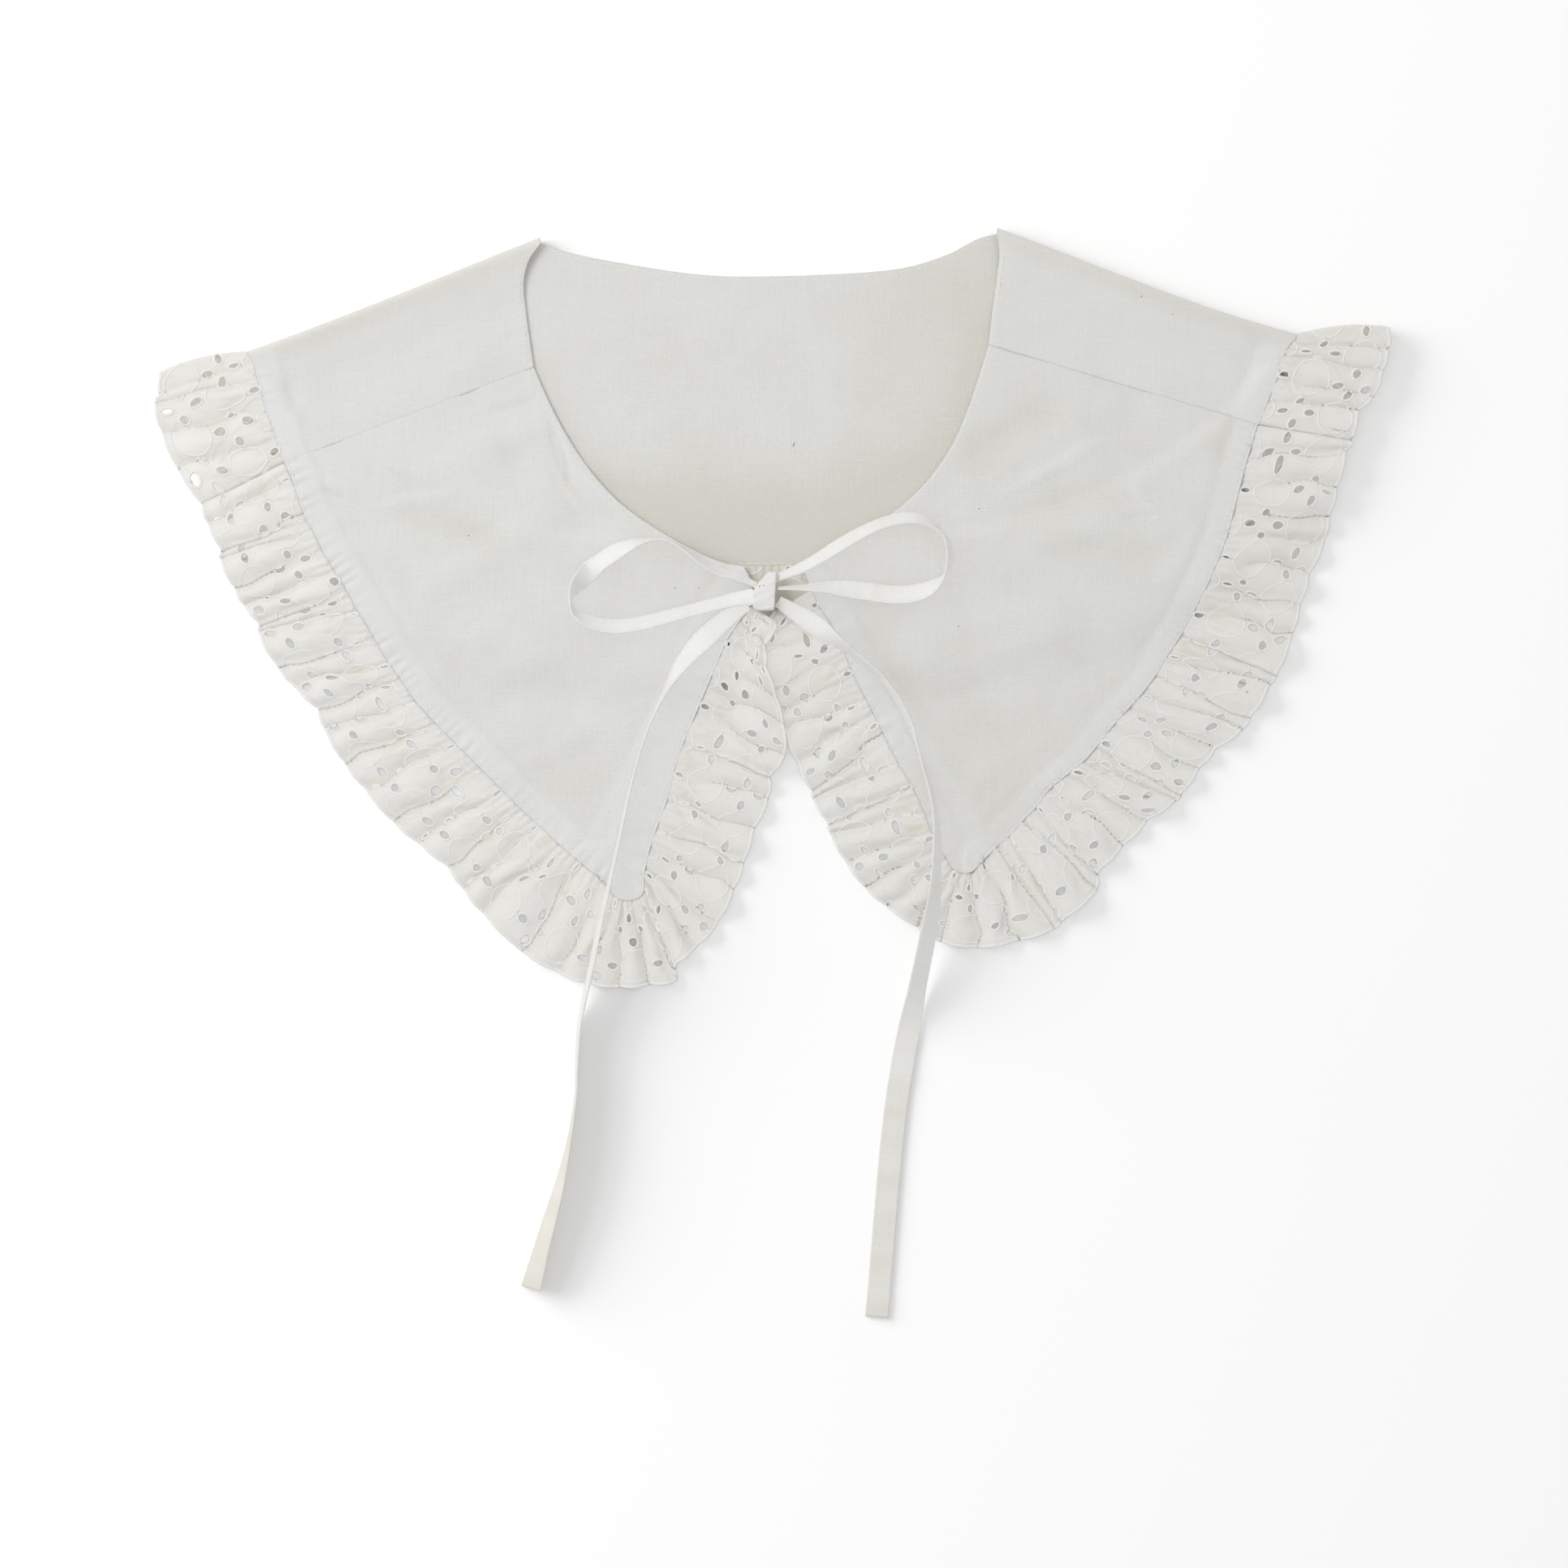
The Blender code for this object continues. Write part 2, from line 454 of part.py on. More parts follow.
def material(name, roughness):
    """White cotton."""
    made = bpy.data.materials.new(name)
    made.use_nodes = True
    shader = made.node_tree.nodes["Principled BSDF"]
    shader.inputs["Base Color"].default_value = WHITE
    shader.inputs["Roughness"].default_value = roughness
    shader.inputs["Metallic"].default_value = 0.0
    return made


def add_object(name, shape, cloth):
    """Turn a closed bmesh in the tables' coordinates into an object."""
    bmesh.ops.recalc_face_normals(shape, faces=shape.faces)
    for vert in shape.verts:
        vert.co = (vert.co - CENTRE) * MM
    for face in shape.faces:
        face.smooth = True
    mesh = bpy.data.meshes.new(name)
    shape.to_mesh(mesh)
    shape.free()
    mesh.materials.append(cloth)
    made = bpy.data.objects.new(name, mesh)
    bpy.context.scene.collection.objects.link(made)
    return made


def wall(name, sections, cloth):
    """Closed wall of a sheet. Each section is a row of (outer face point, inner face point)."""
    shape = bmesh.new()
    outer = [[shape.verts.new(pair[0]) for pair in row] for row in sections]
    inner = [[shape.verts.new(pair[1]) for pair in row] for row in sections]
    last_row, last_column = len(sections) - 1, len(sections[0]) - 1
    for i in range(last_row):
        for j in range(last_column):
            falling = (outer[i][j].co - outer[i + 1][j + 1].co).length
            rising = (outer[i + 1][j].co - outer[i][j + 1].co).length
            for face in (outer, inner):
                a, b, c, d = face[i][j], face[i + 1][j], face[i + 1][j + 1], face[i][j + 1]
                halves = ((a, b, c), (a, c, d)) if falling < rising else ((a, b, d), (b, c, d))
                for corners in halves:
                    shape.faces.new(corners)
    for i in range(last_row):
        for j in (0, last_column):
            shape.faces.new((outer[i][j], outer[i + 1][j], inner[i + 1][j], inner[i][j]))
    for j in range(last_column):
        for i in (0, last_row):
            shape.faces.new((outer[i][j], outer[i][j + 1], inner[i][j + 1], inner[i][j]))
    return add_object(name, shape, cloth)


def lying(point, low, thickness, outer_is_up):
    """Pair of face points of cloth that lies at a point with its underside at a height."""
    down = Vector((point.x, point.y, low))
    up = Vector((point.x, point.y, low + thickness))
    return (up, down) if outer_is_up else (down, up)


def turning(point, out, turn, thickness):
    """Pair of face points of cloth that turns over at a fold."""
    angle = math.radians(turn)
    across = Vector((out.x, out.y, 0.0)) * math.sin(angle)
    middle = Vector((point.x, point.y, thickness / 2 + FOLD_RADIUS * (1.0 - math.cos(angle))))
    middle += across * FOLD_RADIUS
    half = (across - Vector((0.0, 0.0, math.cos(angle)))) * (thickness / 2)
    return middle + half, middle - half


def across(start, end, shares):
    return [lerp(start, end, share) for share in shares]


def steps(count):
    return [i / count for i in range(count + 1)]


def back_panel(cloth):
    """The back, flat on the surface, with its two shoulders folded over on top."""
    columns = steps(BACK_COLUMNS)

    def row(neck, seam, fold, from_fold):
        sag = fold.out * fold.sag * (1.0 - ease(from_fold))
        points = []
        for share in columns:
            skewed = share ** SAG_SKEW
            points.append(lerp(neck, seam, share) - sag * 4.0 * skewed * (1.0 - skewed))
        points[-1] = seam + (neck - seam).normalized() * GAP
        return points

    def over(neck_points, seam_points, fold):
        neck, seam = Line(neck_points), Line(seam_points)
        rows = []
        for share in OVER_ROWS:
            points = row(neck.at(share), seam.at(share), fold, share * 2.0)
            if share == 1.0:
                back = (neck.at(0.9) - neck.at(1.0)).normalized() * (GAP / 2)
                points = [p + back for p in points]
            rows.append([lying(p, rest(p.x, p.y), CLOTH, True) for p in points])
        turns = [[turning(p, fold.out, turn, CLOTH) for p in row(fold.neck, fold.seam, fold, 0.0)]
                 for turn in FOLD_TURNS[::-1]]
        return rows[::-1] + turns

    def seam_points(fold, creases):
        return [fold.seam] + [Vector((c.seam_x, c.seam_y)) for c in creases]

    left = over(OVER_NECK_LEFT, seam_points(FOLD_LEFT, RUFFLE_BACK_LEFT), FOLD_LEFT)
    right = over(OVER_NECK_RIGHT, seam_points(FOLD_RIGHT, RUFFLE_BACK_RIGHT), FOLD_RIGHT)
    under = []
    for share in steps(BACK_ROWS):
        fold = FOLD_LEFT if share < 0.5 else FOLD_RIGHT
        from_fold = min(share, 1.0 - share) / FOLD_SHARE
        points = row(NECK_LINE.at(share), SEAM_LINE.at(share), fold, from_fold)
        under.append([lying(p, 0.0, CLOTH, False) for p in points])
    return wall("back_panel", left + under + right[::-1], cloth)


def seam_of(creases, offset):
    """The seam along a ruffle, moved to its right by a distance, as dense points."""
    line = Line([(c.seam_x, c.seam_y) for c in creases], SEAM_POINTS)
    moved = []
    for point, length in zip(line.points, line.lengths):
        moved.append(point + line.side(length / line.length) * offset)
    return moved


def part_of(points, first, last):
    """Line along the dense seam points between two creases."""
    return Line(points[first * SEAM_POINTS:last * SEAM_POINTS + 1], 1)


def front_panel(name, neck, corner, seam, ridges, cloth):
    """A front. seam holds its (outer, blunt, front) lines, each read away from the shoulder."""
    outer, blunt, front = seam
    columns = steps(FRONT_COLUMNS)
    neck_line, corner_line = Line(neck), Line(corner)
    inner_points = [neck_line.at(share) for share in steps(NECK_ROWS)]
    inner_points += [corner_line.at(share) for share in steps(CORNER_ROWS)[1:]]
    inner_points += [front.at(share) for share in steps(NECK_ROWS)[1:]]
    count = len(inner_points) - 1
    rows = []
    for i, inner in enumerate(inner_points):
        rows.append(across(inner, outer.at(i / count), columns))
    rows[-1] = [blunt.at(share) for share in columns]
    middle = FRONT_COLUMNS // 2
    toward_tip = (rows[1][middle] - rows[0][middle]).normalized() * (GAP / 2)
    rows[0] = [p + toward_tip for p in rows[0]]
    sections = []
    for points in rows:
        sections.append([lying(p, rest(p.x, p.y) + ridge_height(p.x, p.y, ridges), CLOTH, True)
                         for p in points])
    return wall(name, sections, cloth)


def front_left(cloth):
    seam = seam_of(RUFFLE_LEFT, -GAP)
    first, last = TIP_LEFT
    outer = part_of(seam, 0, first)
    blunt = Line(part_of(seam, first, last).points[::-1], 1)
    front = Line(part_of(seam, last, len(RUFFLE_LEFT) - 1).points[::-1], 1)
    return front_panel("front_left", FRONT_NECK_LEFT, CORNER_LEFT, (outer, blunt, front),
                       RIDGES_LEFT, cloth)


def front_right(cloth):
    seam = seam_of(RUFFLE_RIGHT, -GAP)
    first, last = TIP_RIGHT
    outer = Line(part_of(seam, last, len(RUFFLE_RIGHT) - 1).points[::-1], 1)
    blunt = part_of(seam, first, last)
    front = part_of(seam, 0, first)
    return front_panel("front_right", FRONT_NECK_RIGHT, CORNER_RIGHT, (outer, blunt, front),
                       RIDGES_RIGHT, cloth)


def lace_wave(crease, step, share):
    """Height of a ruffle's folds: step runs from one crease to the next, share out from the seam."""
    arch = math.sin(math.pi * step) * crease.rise * lerp(AT_SEAM, 1.0, ease(share / WAVE_REACH))
    gather = abs(math.sin(2.0 * math.pi * step)) * GATHER_RISE
    return arch + gather * (1.0 - ease(share / GATHER_REACH))


def lace_rows(creases, bands, seam_points, outer_is_up=True):
    """Sections of a ruffle that lies on top, from its first crease to its last."""
    rows = []
    for i in range(len(creases) - 1):
        here, after = creases[i], creases[i + 1]
        for step in STEPS + ((1.0,) if i == len(creases) - 2 else ()):
            seam = seam_points(i + step)
            edge = lerp(Vector((here.edge_x, here.edge_y)), Vector((after.edge_x, after.edge_y)), step)
            out = (edge - seam).normalized()
            edge = edge + out * SCALLOP * math.sin(math.pi * step)
            start = seam + out * (GAP / 2)
            lift = lerp(here.lift, after.lift, step)
            pairs = []
            for share in bands:
                point = lerp(start, edge, share)
                low = rest(point.x, point.y) + lace_wave(here, step, share)
                low += lift * ease((share - LIFT_START) / LIFT_REACH)
                pairs.append(lying(point, low, LACE, outer_is_up))
            rows.append(pairs)
    return rows


def seam_reader(creases):
    """Gives the seam's point at a crease's number, whole or part way to the next."""
    line = Line([(c.seam_x, c.seam_y) for c in creases], SEAM_POINTS)

    def point(number):
        place = number * SEAM_POINTS
        i = min(int(place), len(line.points) - 2)
        return lerp(line.points[i], line.points[i + 1], place - i)

    return point


def move_end(rows, end, beyond):
    """Pull a ruffle's end section back from the shoulder seam by half the gap."""
    moved = []
    for pair, next_pair in zip(rows[end], rows[beyond]):
        back = next_pair[0] - pair[0]
        back.z = 0.0
        back = back.normalized() * (GAP / 2)
        moved.append((pair[0] + back, pair[1] + back))
    rows[end] = moved


def ruffle_left(cloth):
    rows = lace_rows(RUFFLE_LEFT, BANDS, seam_reader(RUFFLE_LEFT))
    move_end(rows, 0, 1)
    return wall("ruffle_left", rows, cloth)


def ruffle_right(cloth):
    rows = lace_rows(RUFFLE_RIGHT, BANDS, seam_reader(RUFFLE_RIGHT))
    move_end(rows, -1, -2)
    return wall("ruffle_right", rows, cloth)


def ruffle_back(cloth):
    """The back's strip: hidden under the fronts, with both ends folded over on top."""

    def over(creases, fold):
        first = Crease(fold.seam.x, fold.seam.y, fold.edge.x, fold.edge.y, 0.3, 0.0)
        creases = (first,) + creases
        rows = lace_rows(creases, BACK_BANDS, seam_reader(creases))
        move_end(rows, -1, -2)
        rows[0] = [lying(p[0].to_2d(), 2.0 * FOLD_RADIUS, LACE, True) for p in rows[0]]
        out = (fold.edge - fold.seam).normalized()
        start = fold.seam + out * (GAP / 2)
        turns = []
        for turn in FOLD_TURNS[::-1]:
            bulge = FOLD_BULGE * math.sin(math.radians(turn))
            turns.append([turning(lerp(start, fold.edge, s) + fold.out * bulge * 4.0 * s * (1.0 - s),
                                  fold.out, turn, LACE) for s in BACK_BANDS])
        return rows[::-1] + turns

    under = []
    count = BACK_WAVES * len(STEPS)
    for i in range(count + 1):
        share = i / count
        fold = FOLD_LEFT if share < 0.5 else FOLD_RIGHT
        from_fold = min(share, 1.0 - share) * SEAM_LINE.length
        seam = SEAM_LINE.at(share)
        along_fold = (fold.edge - fold.seam).normalized()
        out = lerp(along_fold, SEAM_LINE.side(share), ease(from_fold / BACK_LACE_TURN)).normalized()
        width = lerp((fold.edge - fold.seam).length, BACK_LACE_WIDTH, ease(from_fold / BACK_LACE_TURN))
        step = (i % len(STEPS)) / len(STEPS)
        rise = BACK_LACE_RISE * ease(from_fold / BACK_WAVE_START)
        arch = rise * math.sin(math.pi * step)
        pairs = []
        for band in BACK_BANDS:
            point = lerp(seam + out * (GAP / 2), seam + out * width, band)
            low = arch * lerp(AT_SEAM, 1.0, ease(band / WAVE_REACH))
            pairs.append(lying(point, low, LACE, False))
        under.append(pairs)
    left = over(RUFFLE_BACK_LEFT, FOLD_LEFT)
    right = over(RUFFLE_BACK_RIGHT, FOLD_RIGHT)
    return wall("ruffle_back", left + under + right[::-1], cloth)


def band(name, stations, cloth, per_span=1):
    """A tie's band, swept along its stations with its own tilt."""
    dense = smooth(stations, per_span)
    shape = bmesh.new()
    rings = []
    for i, station in enumerate(dense):
        x, y, low, tilt, width = station
        low = max(low, 0.0)
        before, after = dense[max(i - 1, 0)], dense[min(i + 1, len(dense) - 1)]
        way = Vector((after[0] - before[0], after[1] - before[1], 0.0)).normalized()
        side = Vector((-way.y, way.x, 0.0))
        angle = math.radians(tilt)
        wide = side * math.cos(angle) + Vector((0.0, 0.0, math.sin(angle)))
        thick = way.cross(wide)
        high = abs(wide.z) * width / 2 + abs(thick.z) * TIE_THICKNESS / 2
        middle = Vector((x, y, low + high))
        ring = []
        for w, t in ((1, 1), (1, -1), (-1, -1), (-1, 1)):
            ring.append(shape.verts.new(middle + wide * (w * width / 2) + thick * (t * TIE_THICKNESS / 2)))
        rings.append(ring)
    for first, second in zip(rings, rings[1:]):
        for k in range(4):
            shape.faces.new((first[k], first[(k + 1) % 4], second[(k + 1) % 4], second[k]))
    shape.faces.new(rings[0])
    shape.faces.new(rings[-1][::-1])
    return add_object(name, shape, cloth)


def knot(cloth):
    """The knot: rounded rings from its lower to its upper end."""
    shape = bmesh.new()
    rings = []
    for place in KNOT:
        ring = []
        for k in range(KNOT_RING_POINTS):
            angle = 2.0 * math.pi * k / KNOT_RING_POINTS
            round_x = math.copysign(abs(math.cos(angle)) ** KNOT_SQUARENESS, math.cos(angle))
            round_z = math.copysign(abs(math.sin(angle)) ** KNOT_SQUARENESS, math.sin(angle))
            x = lerp(place.left, place.right, (round_x + 1.0) / 2)
            z = lerp(place.low, place.high, (round_z + 1.0) / 2)
            ring.append(shape.verts.new((x, place.y, z)))
        rings.append(ring)
    for first, second in zip(rings, rings[1:]):
        for k in range(KNOT_RING_POINTS):
            after = (k + 1) % KNOT_RING_POINTS
            shape.faces.new((first[k], first[after], second[after], second[k]))
    shape.faces.new(rings[0])
    shape.faces.new(rings[-1][::-1])
    return add_object("bow_knot", shape, cloth)


def clear_scene():
    for thing in list(bpy.data.objects):
        bpy.data.objects.remove(thing, do_unlink=True)


def build():
    clear_scene()
    cotton = material("cotton", 0.85)
    eyelet = material("eyelet_lace", 0.9)
    tape = material("tie_cotton", 0.75)
    back_panel(cotton)
    front_left(cotton)
    front_right(cotton)
    ruffle_back(eyelet)
    ruffle_left(eyelet)
    ruffle_right(eyelet)
    knot(tape)
    band("bow_loop_left", LOOP_LEFT, tape, 2)
    band("bow_loop_right", LOOP_RIGHT, tape, 2)
    band("tie_tail_left", TAIL_LEFT, tape, 2)
    band("tie_tail_right", TAIL_RIGHT, tape, 2)


build()
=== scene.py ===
"""Looks of the cotton collar with its gathered eyelet ruffle and tie bow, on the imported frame.

Tables and formulas are in millimetres in the solids' own coordinates, and to_row() turns them into
the frame's metres. +X is to the right and +Y towards the back of the neck, seen from above.
"""

from collections import namedtuple

import bpy
import numpy as np
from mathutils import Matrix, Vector, noise
from mathutils.bvhtree import BVHTree
from mathutils.geometry import delaunay_2d_cdt


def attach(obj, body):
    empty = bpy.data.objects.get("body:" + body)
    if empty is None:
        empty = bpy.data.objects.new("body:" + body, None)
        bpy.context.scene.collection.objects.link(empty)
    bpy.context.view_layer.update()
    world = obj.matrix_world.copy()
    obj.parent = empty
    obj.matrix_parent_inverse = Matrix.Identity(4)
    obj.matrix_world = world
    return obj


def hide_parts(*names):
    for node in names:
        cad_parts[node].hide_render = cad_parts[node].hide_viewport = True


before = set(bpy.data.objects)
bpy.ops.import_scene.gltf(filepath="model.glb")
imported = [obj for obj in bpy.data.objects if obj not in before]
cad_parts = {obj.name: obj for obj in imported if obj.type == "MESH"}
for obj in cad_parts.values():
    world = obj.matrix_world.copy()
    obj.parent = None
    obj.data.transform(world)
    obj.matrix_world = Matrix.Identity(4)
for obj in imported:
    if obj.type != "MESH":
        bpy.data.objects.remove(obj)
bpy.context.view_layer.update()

MM = 0.001
CENTRE = np.array((-0.4, 0.0, 0.0))
CM = 10.0                   # cloth coordinates are in centimetres
UP = np.array((0.0, 0.0, 1.0))


def rows_of(kind, rows):
    """A table of that kind of row."""
    return tuple(kind(*map(float, row)) for row in rows)


# View
VIEW_WIDTH = 515.2          # of the picture's frame, on the floor
VIEW_CENTRE = (3.6, -57.87)
CAMERA_HEIGHT = 2500.0
SENSOR = 36.0

# Cloth
CLOTH = 1.0                 # wall of the solids' panels
GAP = 0.3
SHELL = 0.8                 # doubled cotton
LACE = 1.2                  # wall of the solids' ruffle
LACE_SHELL = 0.42
TIE_THICKNESS = 1.0
TIE_WIDTH = 7.5
STITCH_PITCH = 2.8
STITCH_LENGTH = 1.9
STITCH_RADIUS = 0.17

NECK_STITCH = 1.2           # rows of topstitching from a neck edge and from a seam
SEAM_STITCH = 0.95
STITCH_TAPER = 0.14         # of a stitch's length, at each end

RIDGE_SHARE = 0.35          # of the solids' soft folds, which carry finer creases here

# Shoulder folds
FOLD_RADIUS = 1.5
FOLD_SOFT = 18.0
Fold = namedtuple("Fold", "neck seam edge out sag")
FOLD_LEFT = Fold(np.array((-76.5, 119.7)), np.array((-172.2, 82.4)), np.array((-201.4, 75.6)),
                 np.array((-0.29, 0.957)), 0.6)
FOLD_RIGHT = Fold(np.array((73.0, 122.8)), np.array((171.2, 88.0)), np.array((201.7, 90.5)),
                  np.array((0.13, 0.99)), 1.5)
SAG_SKEW = 1.6
FOLD_BULGE = 1.8
FOLD_TURNS = np.radians((157.5, 135.0, 112.5, 90.0, 67.5, 45.0, 22.5))

# Ruffle
FLAT = 33.0                 # width of the lace strip before it is gathered
TILE = 28.0                 # repeat of its pattern
BACK_LACE_WIDTH = 27.0
BACK_LACE_RISE = 1.0
BACK_WAVES = 24
GATHER_PITCH = 2.5
SCALLOP = 0.7
COVER_IN = 9.0
COVER_RISE = 6.0
COVER_OUT = 33.0
COVER_FALL = 17.0

BACK_NECK = ((-76.5, 119.7), (-67.0, 116.5), (-55.0, 114.0), (-30.0, 110.0), (-13.0, 108.8),
             (18.5, 109.5), (42.0, 111.5), (57.0, 116.0), (67.0, 121.2), (73.0, 122.8))
BACK_SEAM = ((-172.2, 82.4), (-168.5, 72.0), (-155.0, 53.5), (-129.0, 35.0), (-89.0, 21.5),
             (-46.5, 15.2), (-2.5, 13.6), (41.5, 15.7), (84.5, 23.7), (124.5, 39.7),
             (153.5, 61.0), (166.0, 77.0), (171.2, 88.0))
OVER_NECK_LEFT = ((-76.5, 119.7), (-80.5, 114.0), (-82.3, 107.0), (-81.5, 97.0), (-79.0, 79.0))
OVER_NECK_RIGHT = ((73.0, 122.8), (74.0, 116.5), (73.3, 109.0), (71.8, 98.0), (70.5, 86.5))
FRONT_NECK_LEFT = ((-79.0, 79.0), (-73.5, 66.5), (-67.0, 54.5), (-58.5, 42.5), (-49.0, 33.0),
                   (-35.0, 23.5), (-25.0, 18.0), (-17.0, 14.8), (-10.0, 13.4))
CORNER_LEFT = ((-10.0, 13.4), (-8.0, 9.5), (-7.2, 5.0), (-7.5, 0.5))
FRONT_NECK_RIGHT = ((70.5, 86.5), (65.0, 69.0), (59.0, 54.5), (51.0, 42.5), (42.5, 34.0),
                    (33.5, 27.5), (23.0, 20.5), (14.5, 14.5), (10.0, 11.5))
CORNER_RIGHT = ((10.0, 11.5), (11.0, 9.0), (12.0, 6.0))

# Ruffle folds: a crease runs from the seam to the free edge, and the lace arches up after it
Crease = namedtuple("Crease", "seam_x seam_y edge_x edge_y rise lift", defaults=(0.0,))
RUFFLE_LEFT = rows_of(Crease, (
    (-161, 47.5, -187.5, 34, 1.4), (-158.5, 42, -185.5, 27.5, 1.8), (-154, 29, -181, 19, 0.9),
    (-151.5, 25, -181.5, 15.5, 1.7), (-148.5, 18.5, -177, 6.5, 1.5), (-144.5, 12, -173.5, 0.5, 1.9),
    (-140.5, 5.5, -168.5, -5, 0.8), (-137, -1, -169, -8.5, 2), (-131.5, -10, -163, -19, 1.3),
    (-127, -18, -157, -26, 1.7), (-123, -23.5, -149.5, -33, 1.2), (-118, -31, -147, -40.5, 2.1),
    (-111.5, -38, -141, -50.5, 1.5), (-104.5, -45, -134, -59.5, 1.9), (-97, -52.5, -125, -70, 1.6),
    (-89.5, -60, -116.5, -77, 1.9), (-83, -66.5, -107, -84.5, 1.4), (-77.5, -71.5, -101.5, -92.5, 1.8),
    (-70.5, -78, -95.5, -100, 2.2), (-63, -84.5, -83, -112.5, 1.7), (-56.5, -90, -71, -119.5, 1.5),
    (-52.5, -95, -61.5, -123, 1.3), (-49.5, -96.5, -51, -124.5, 1.6), (-46.5, -96.5, -41, -123.5, 1.9),
    (-44, -95.5, -32, -122.5, 0.7), (-42.5, -93, -33, -117, 1.8), (-42.5, -89.5, -25.5, -111, 1.9),
    (-42, -85.5, -18.5, -103, 2), (-40.5, -79, -13.5, -92.5, 1.7), (-38.5, -73, -10, -83, 2.2),
    (-35, -63.5, -7, -73, 1.6), (-32.5, -53.5, -2, -62.5, 1.3), (-29.5, -44.5, -1.5, -55, 1.8, 0.4),
    (-25.5, -35, 3.5, -48.5, 1.6, 1.6), (-21.5, -25.5, 3, -38.5, 1.2, 2.3),
    (-18.5, -18.5, 0.5, -29.5, 1.1, 2.3), (-15, -10.5, -3, -19.5, 0.9, 2.3),
    (-11, -4.5, -3.5, -12.5, 0.6, 2.3), (-7.5, 0.5, 1, -4.5, 0.6, 2.3),
))
RUFFLE_RIGHT = rows_of(Crease, (
    (12, 6, 0.5, -1, 0.5), (15, -0.5, -5, -9.5, 0.5), (18.5, -5.5, -6.5, -17.5, 0.6),
    (23, -15, -3, -28.5, 0.6), (26, -22.5, 0.5, -35, 0.8), (30, -30, 4, -40.5, 1.4),
    (32.5, -35, 8, -51, 1.5), (36, -42, 12.5, -60, 1.1), (40.5, -51, 13.5, -63, 1.7),
    (45.5, -59.5, 18, -70.5, 1), (49, -67, 19, -74.5, 1.5), (51.5, -73.5, 24, -83.5, 1.6),
    (54, -78.5, 30, -91.5, 1.4), (56.5, -83, 37, -97.5, 1.5), (58.5, -86, 47, -104.5, 1.3),
    (61.5, -87.5, 55, -109.5, 1.6), (65, -87, 67, -111.5, 1.9), (68.5, -83.5, 80.5, -109, 1.6),
    (73.5, -78.5, 91.5, -105.5, 0.8), (77.5, -75, 94.5, -102.5, 1.9), (82, -70, 106, -93, 0.9),
    (86, -66, 106, -86.5, 1.8), (91, -59.5, 114.5, -78, 1.6), (96.5, -55, 122.5, -69.5, 2),
    (102, -50.5, 131.5, -63.5, 0.8), (106, -46, 133.5, -61, 1.5), (111.5, -39, 139.5, -52.5, 1.8),
    (117, -33, 145, -46, 1.9), (121, -28.5, 153, -40.5, 1.1), (125.5, -22.5, 156.5, -35.5, 1.9),
    (129.5, -16, 162.5, -25.5, 1), (134, -9, 165, -21.5, 1.9), (138.5, -0.5, 170, -8.5, 1.6),
    (143, 8.5, 172.5, 1, 1.9), (146.5, 16.5, 175.5, 11, 1.6), (149, 23.5, 180.5, 22, 1.5),
    (151, 31, 182, 30, 1.7), (153.5, 41, 184.5, 39.5, 1.6), (156, 50, 187.5, 51.5, 1.4),
    (159, 60, 189.5, 55, 1.2),
))
RUFFLE_BACK_LEFT = rows_of(Crease, (
    (-171, 80.5, -201.5, 70, 0.4), (-169.5, 75, -203, 66.5, 1.1), (-166.5, 64, -200.5, 57, 1.5),
    (-163.5, 55.5, -195.5, 45.5, 1.6), (-161, 47.5, -187.5, 34, 1.4),
))
RUFFLE_BACK_RIGHT = rows_of(Crease, (
    (169.5, 86.5, 201.5, 85, 0.4), (167.5, 83, 199.5, 77.5, 0.9), (165, 75, 196.5, 69, 1.2),
    (162, 67.5, 191.5, 65, 1.3), (159, 60, 189.5, 55, 1.2),
))
TIP_LEFT = (20, 25)
TIP_RIGHT = (13, 17)

# Soft folds that stand up from the fronts, as on the solids
Ridge = namedtuple("Ridge", "x0 y0 x1 y1 reach height")
RIDGES_LEFT = rows_of(Ridge, (
    (-120, 42, -78, 60, 8, 0.8), (-112, 8, -66, 34, 8, 1), (-96, -26, -60, -12, 7, 0.9),
    (-84, -54, -62, -40, 6, 0.8), (-138, 22, -124, 12, 5, 0.8),
))
RIDGES_RIGHT = rows_of(Ridge, (
    (64, 46, 112, 66, 8, 0.9), (72, 13, 108, 29, 9, 1), (62, -22, 96, -4, 7, 0.8),
    (68, -54, 88, -44, 6, 0.8), (126, 8, 138, 22, 5, 0.7),
))

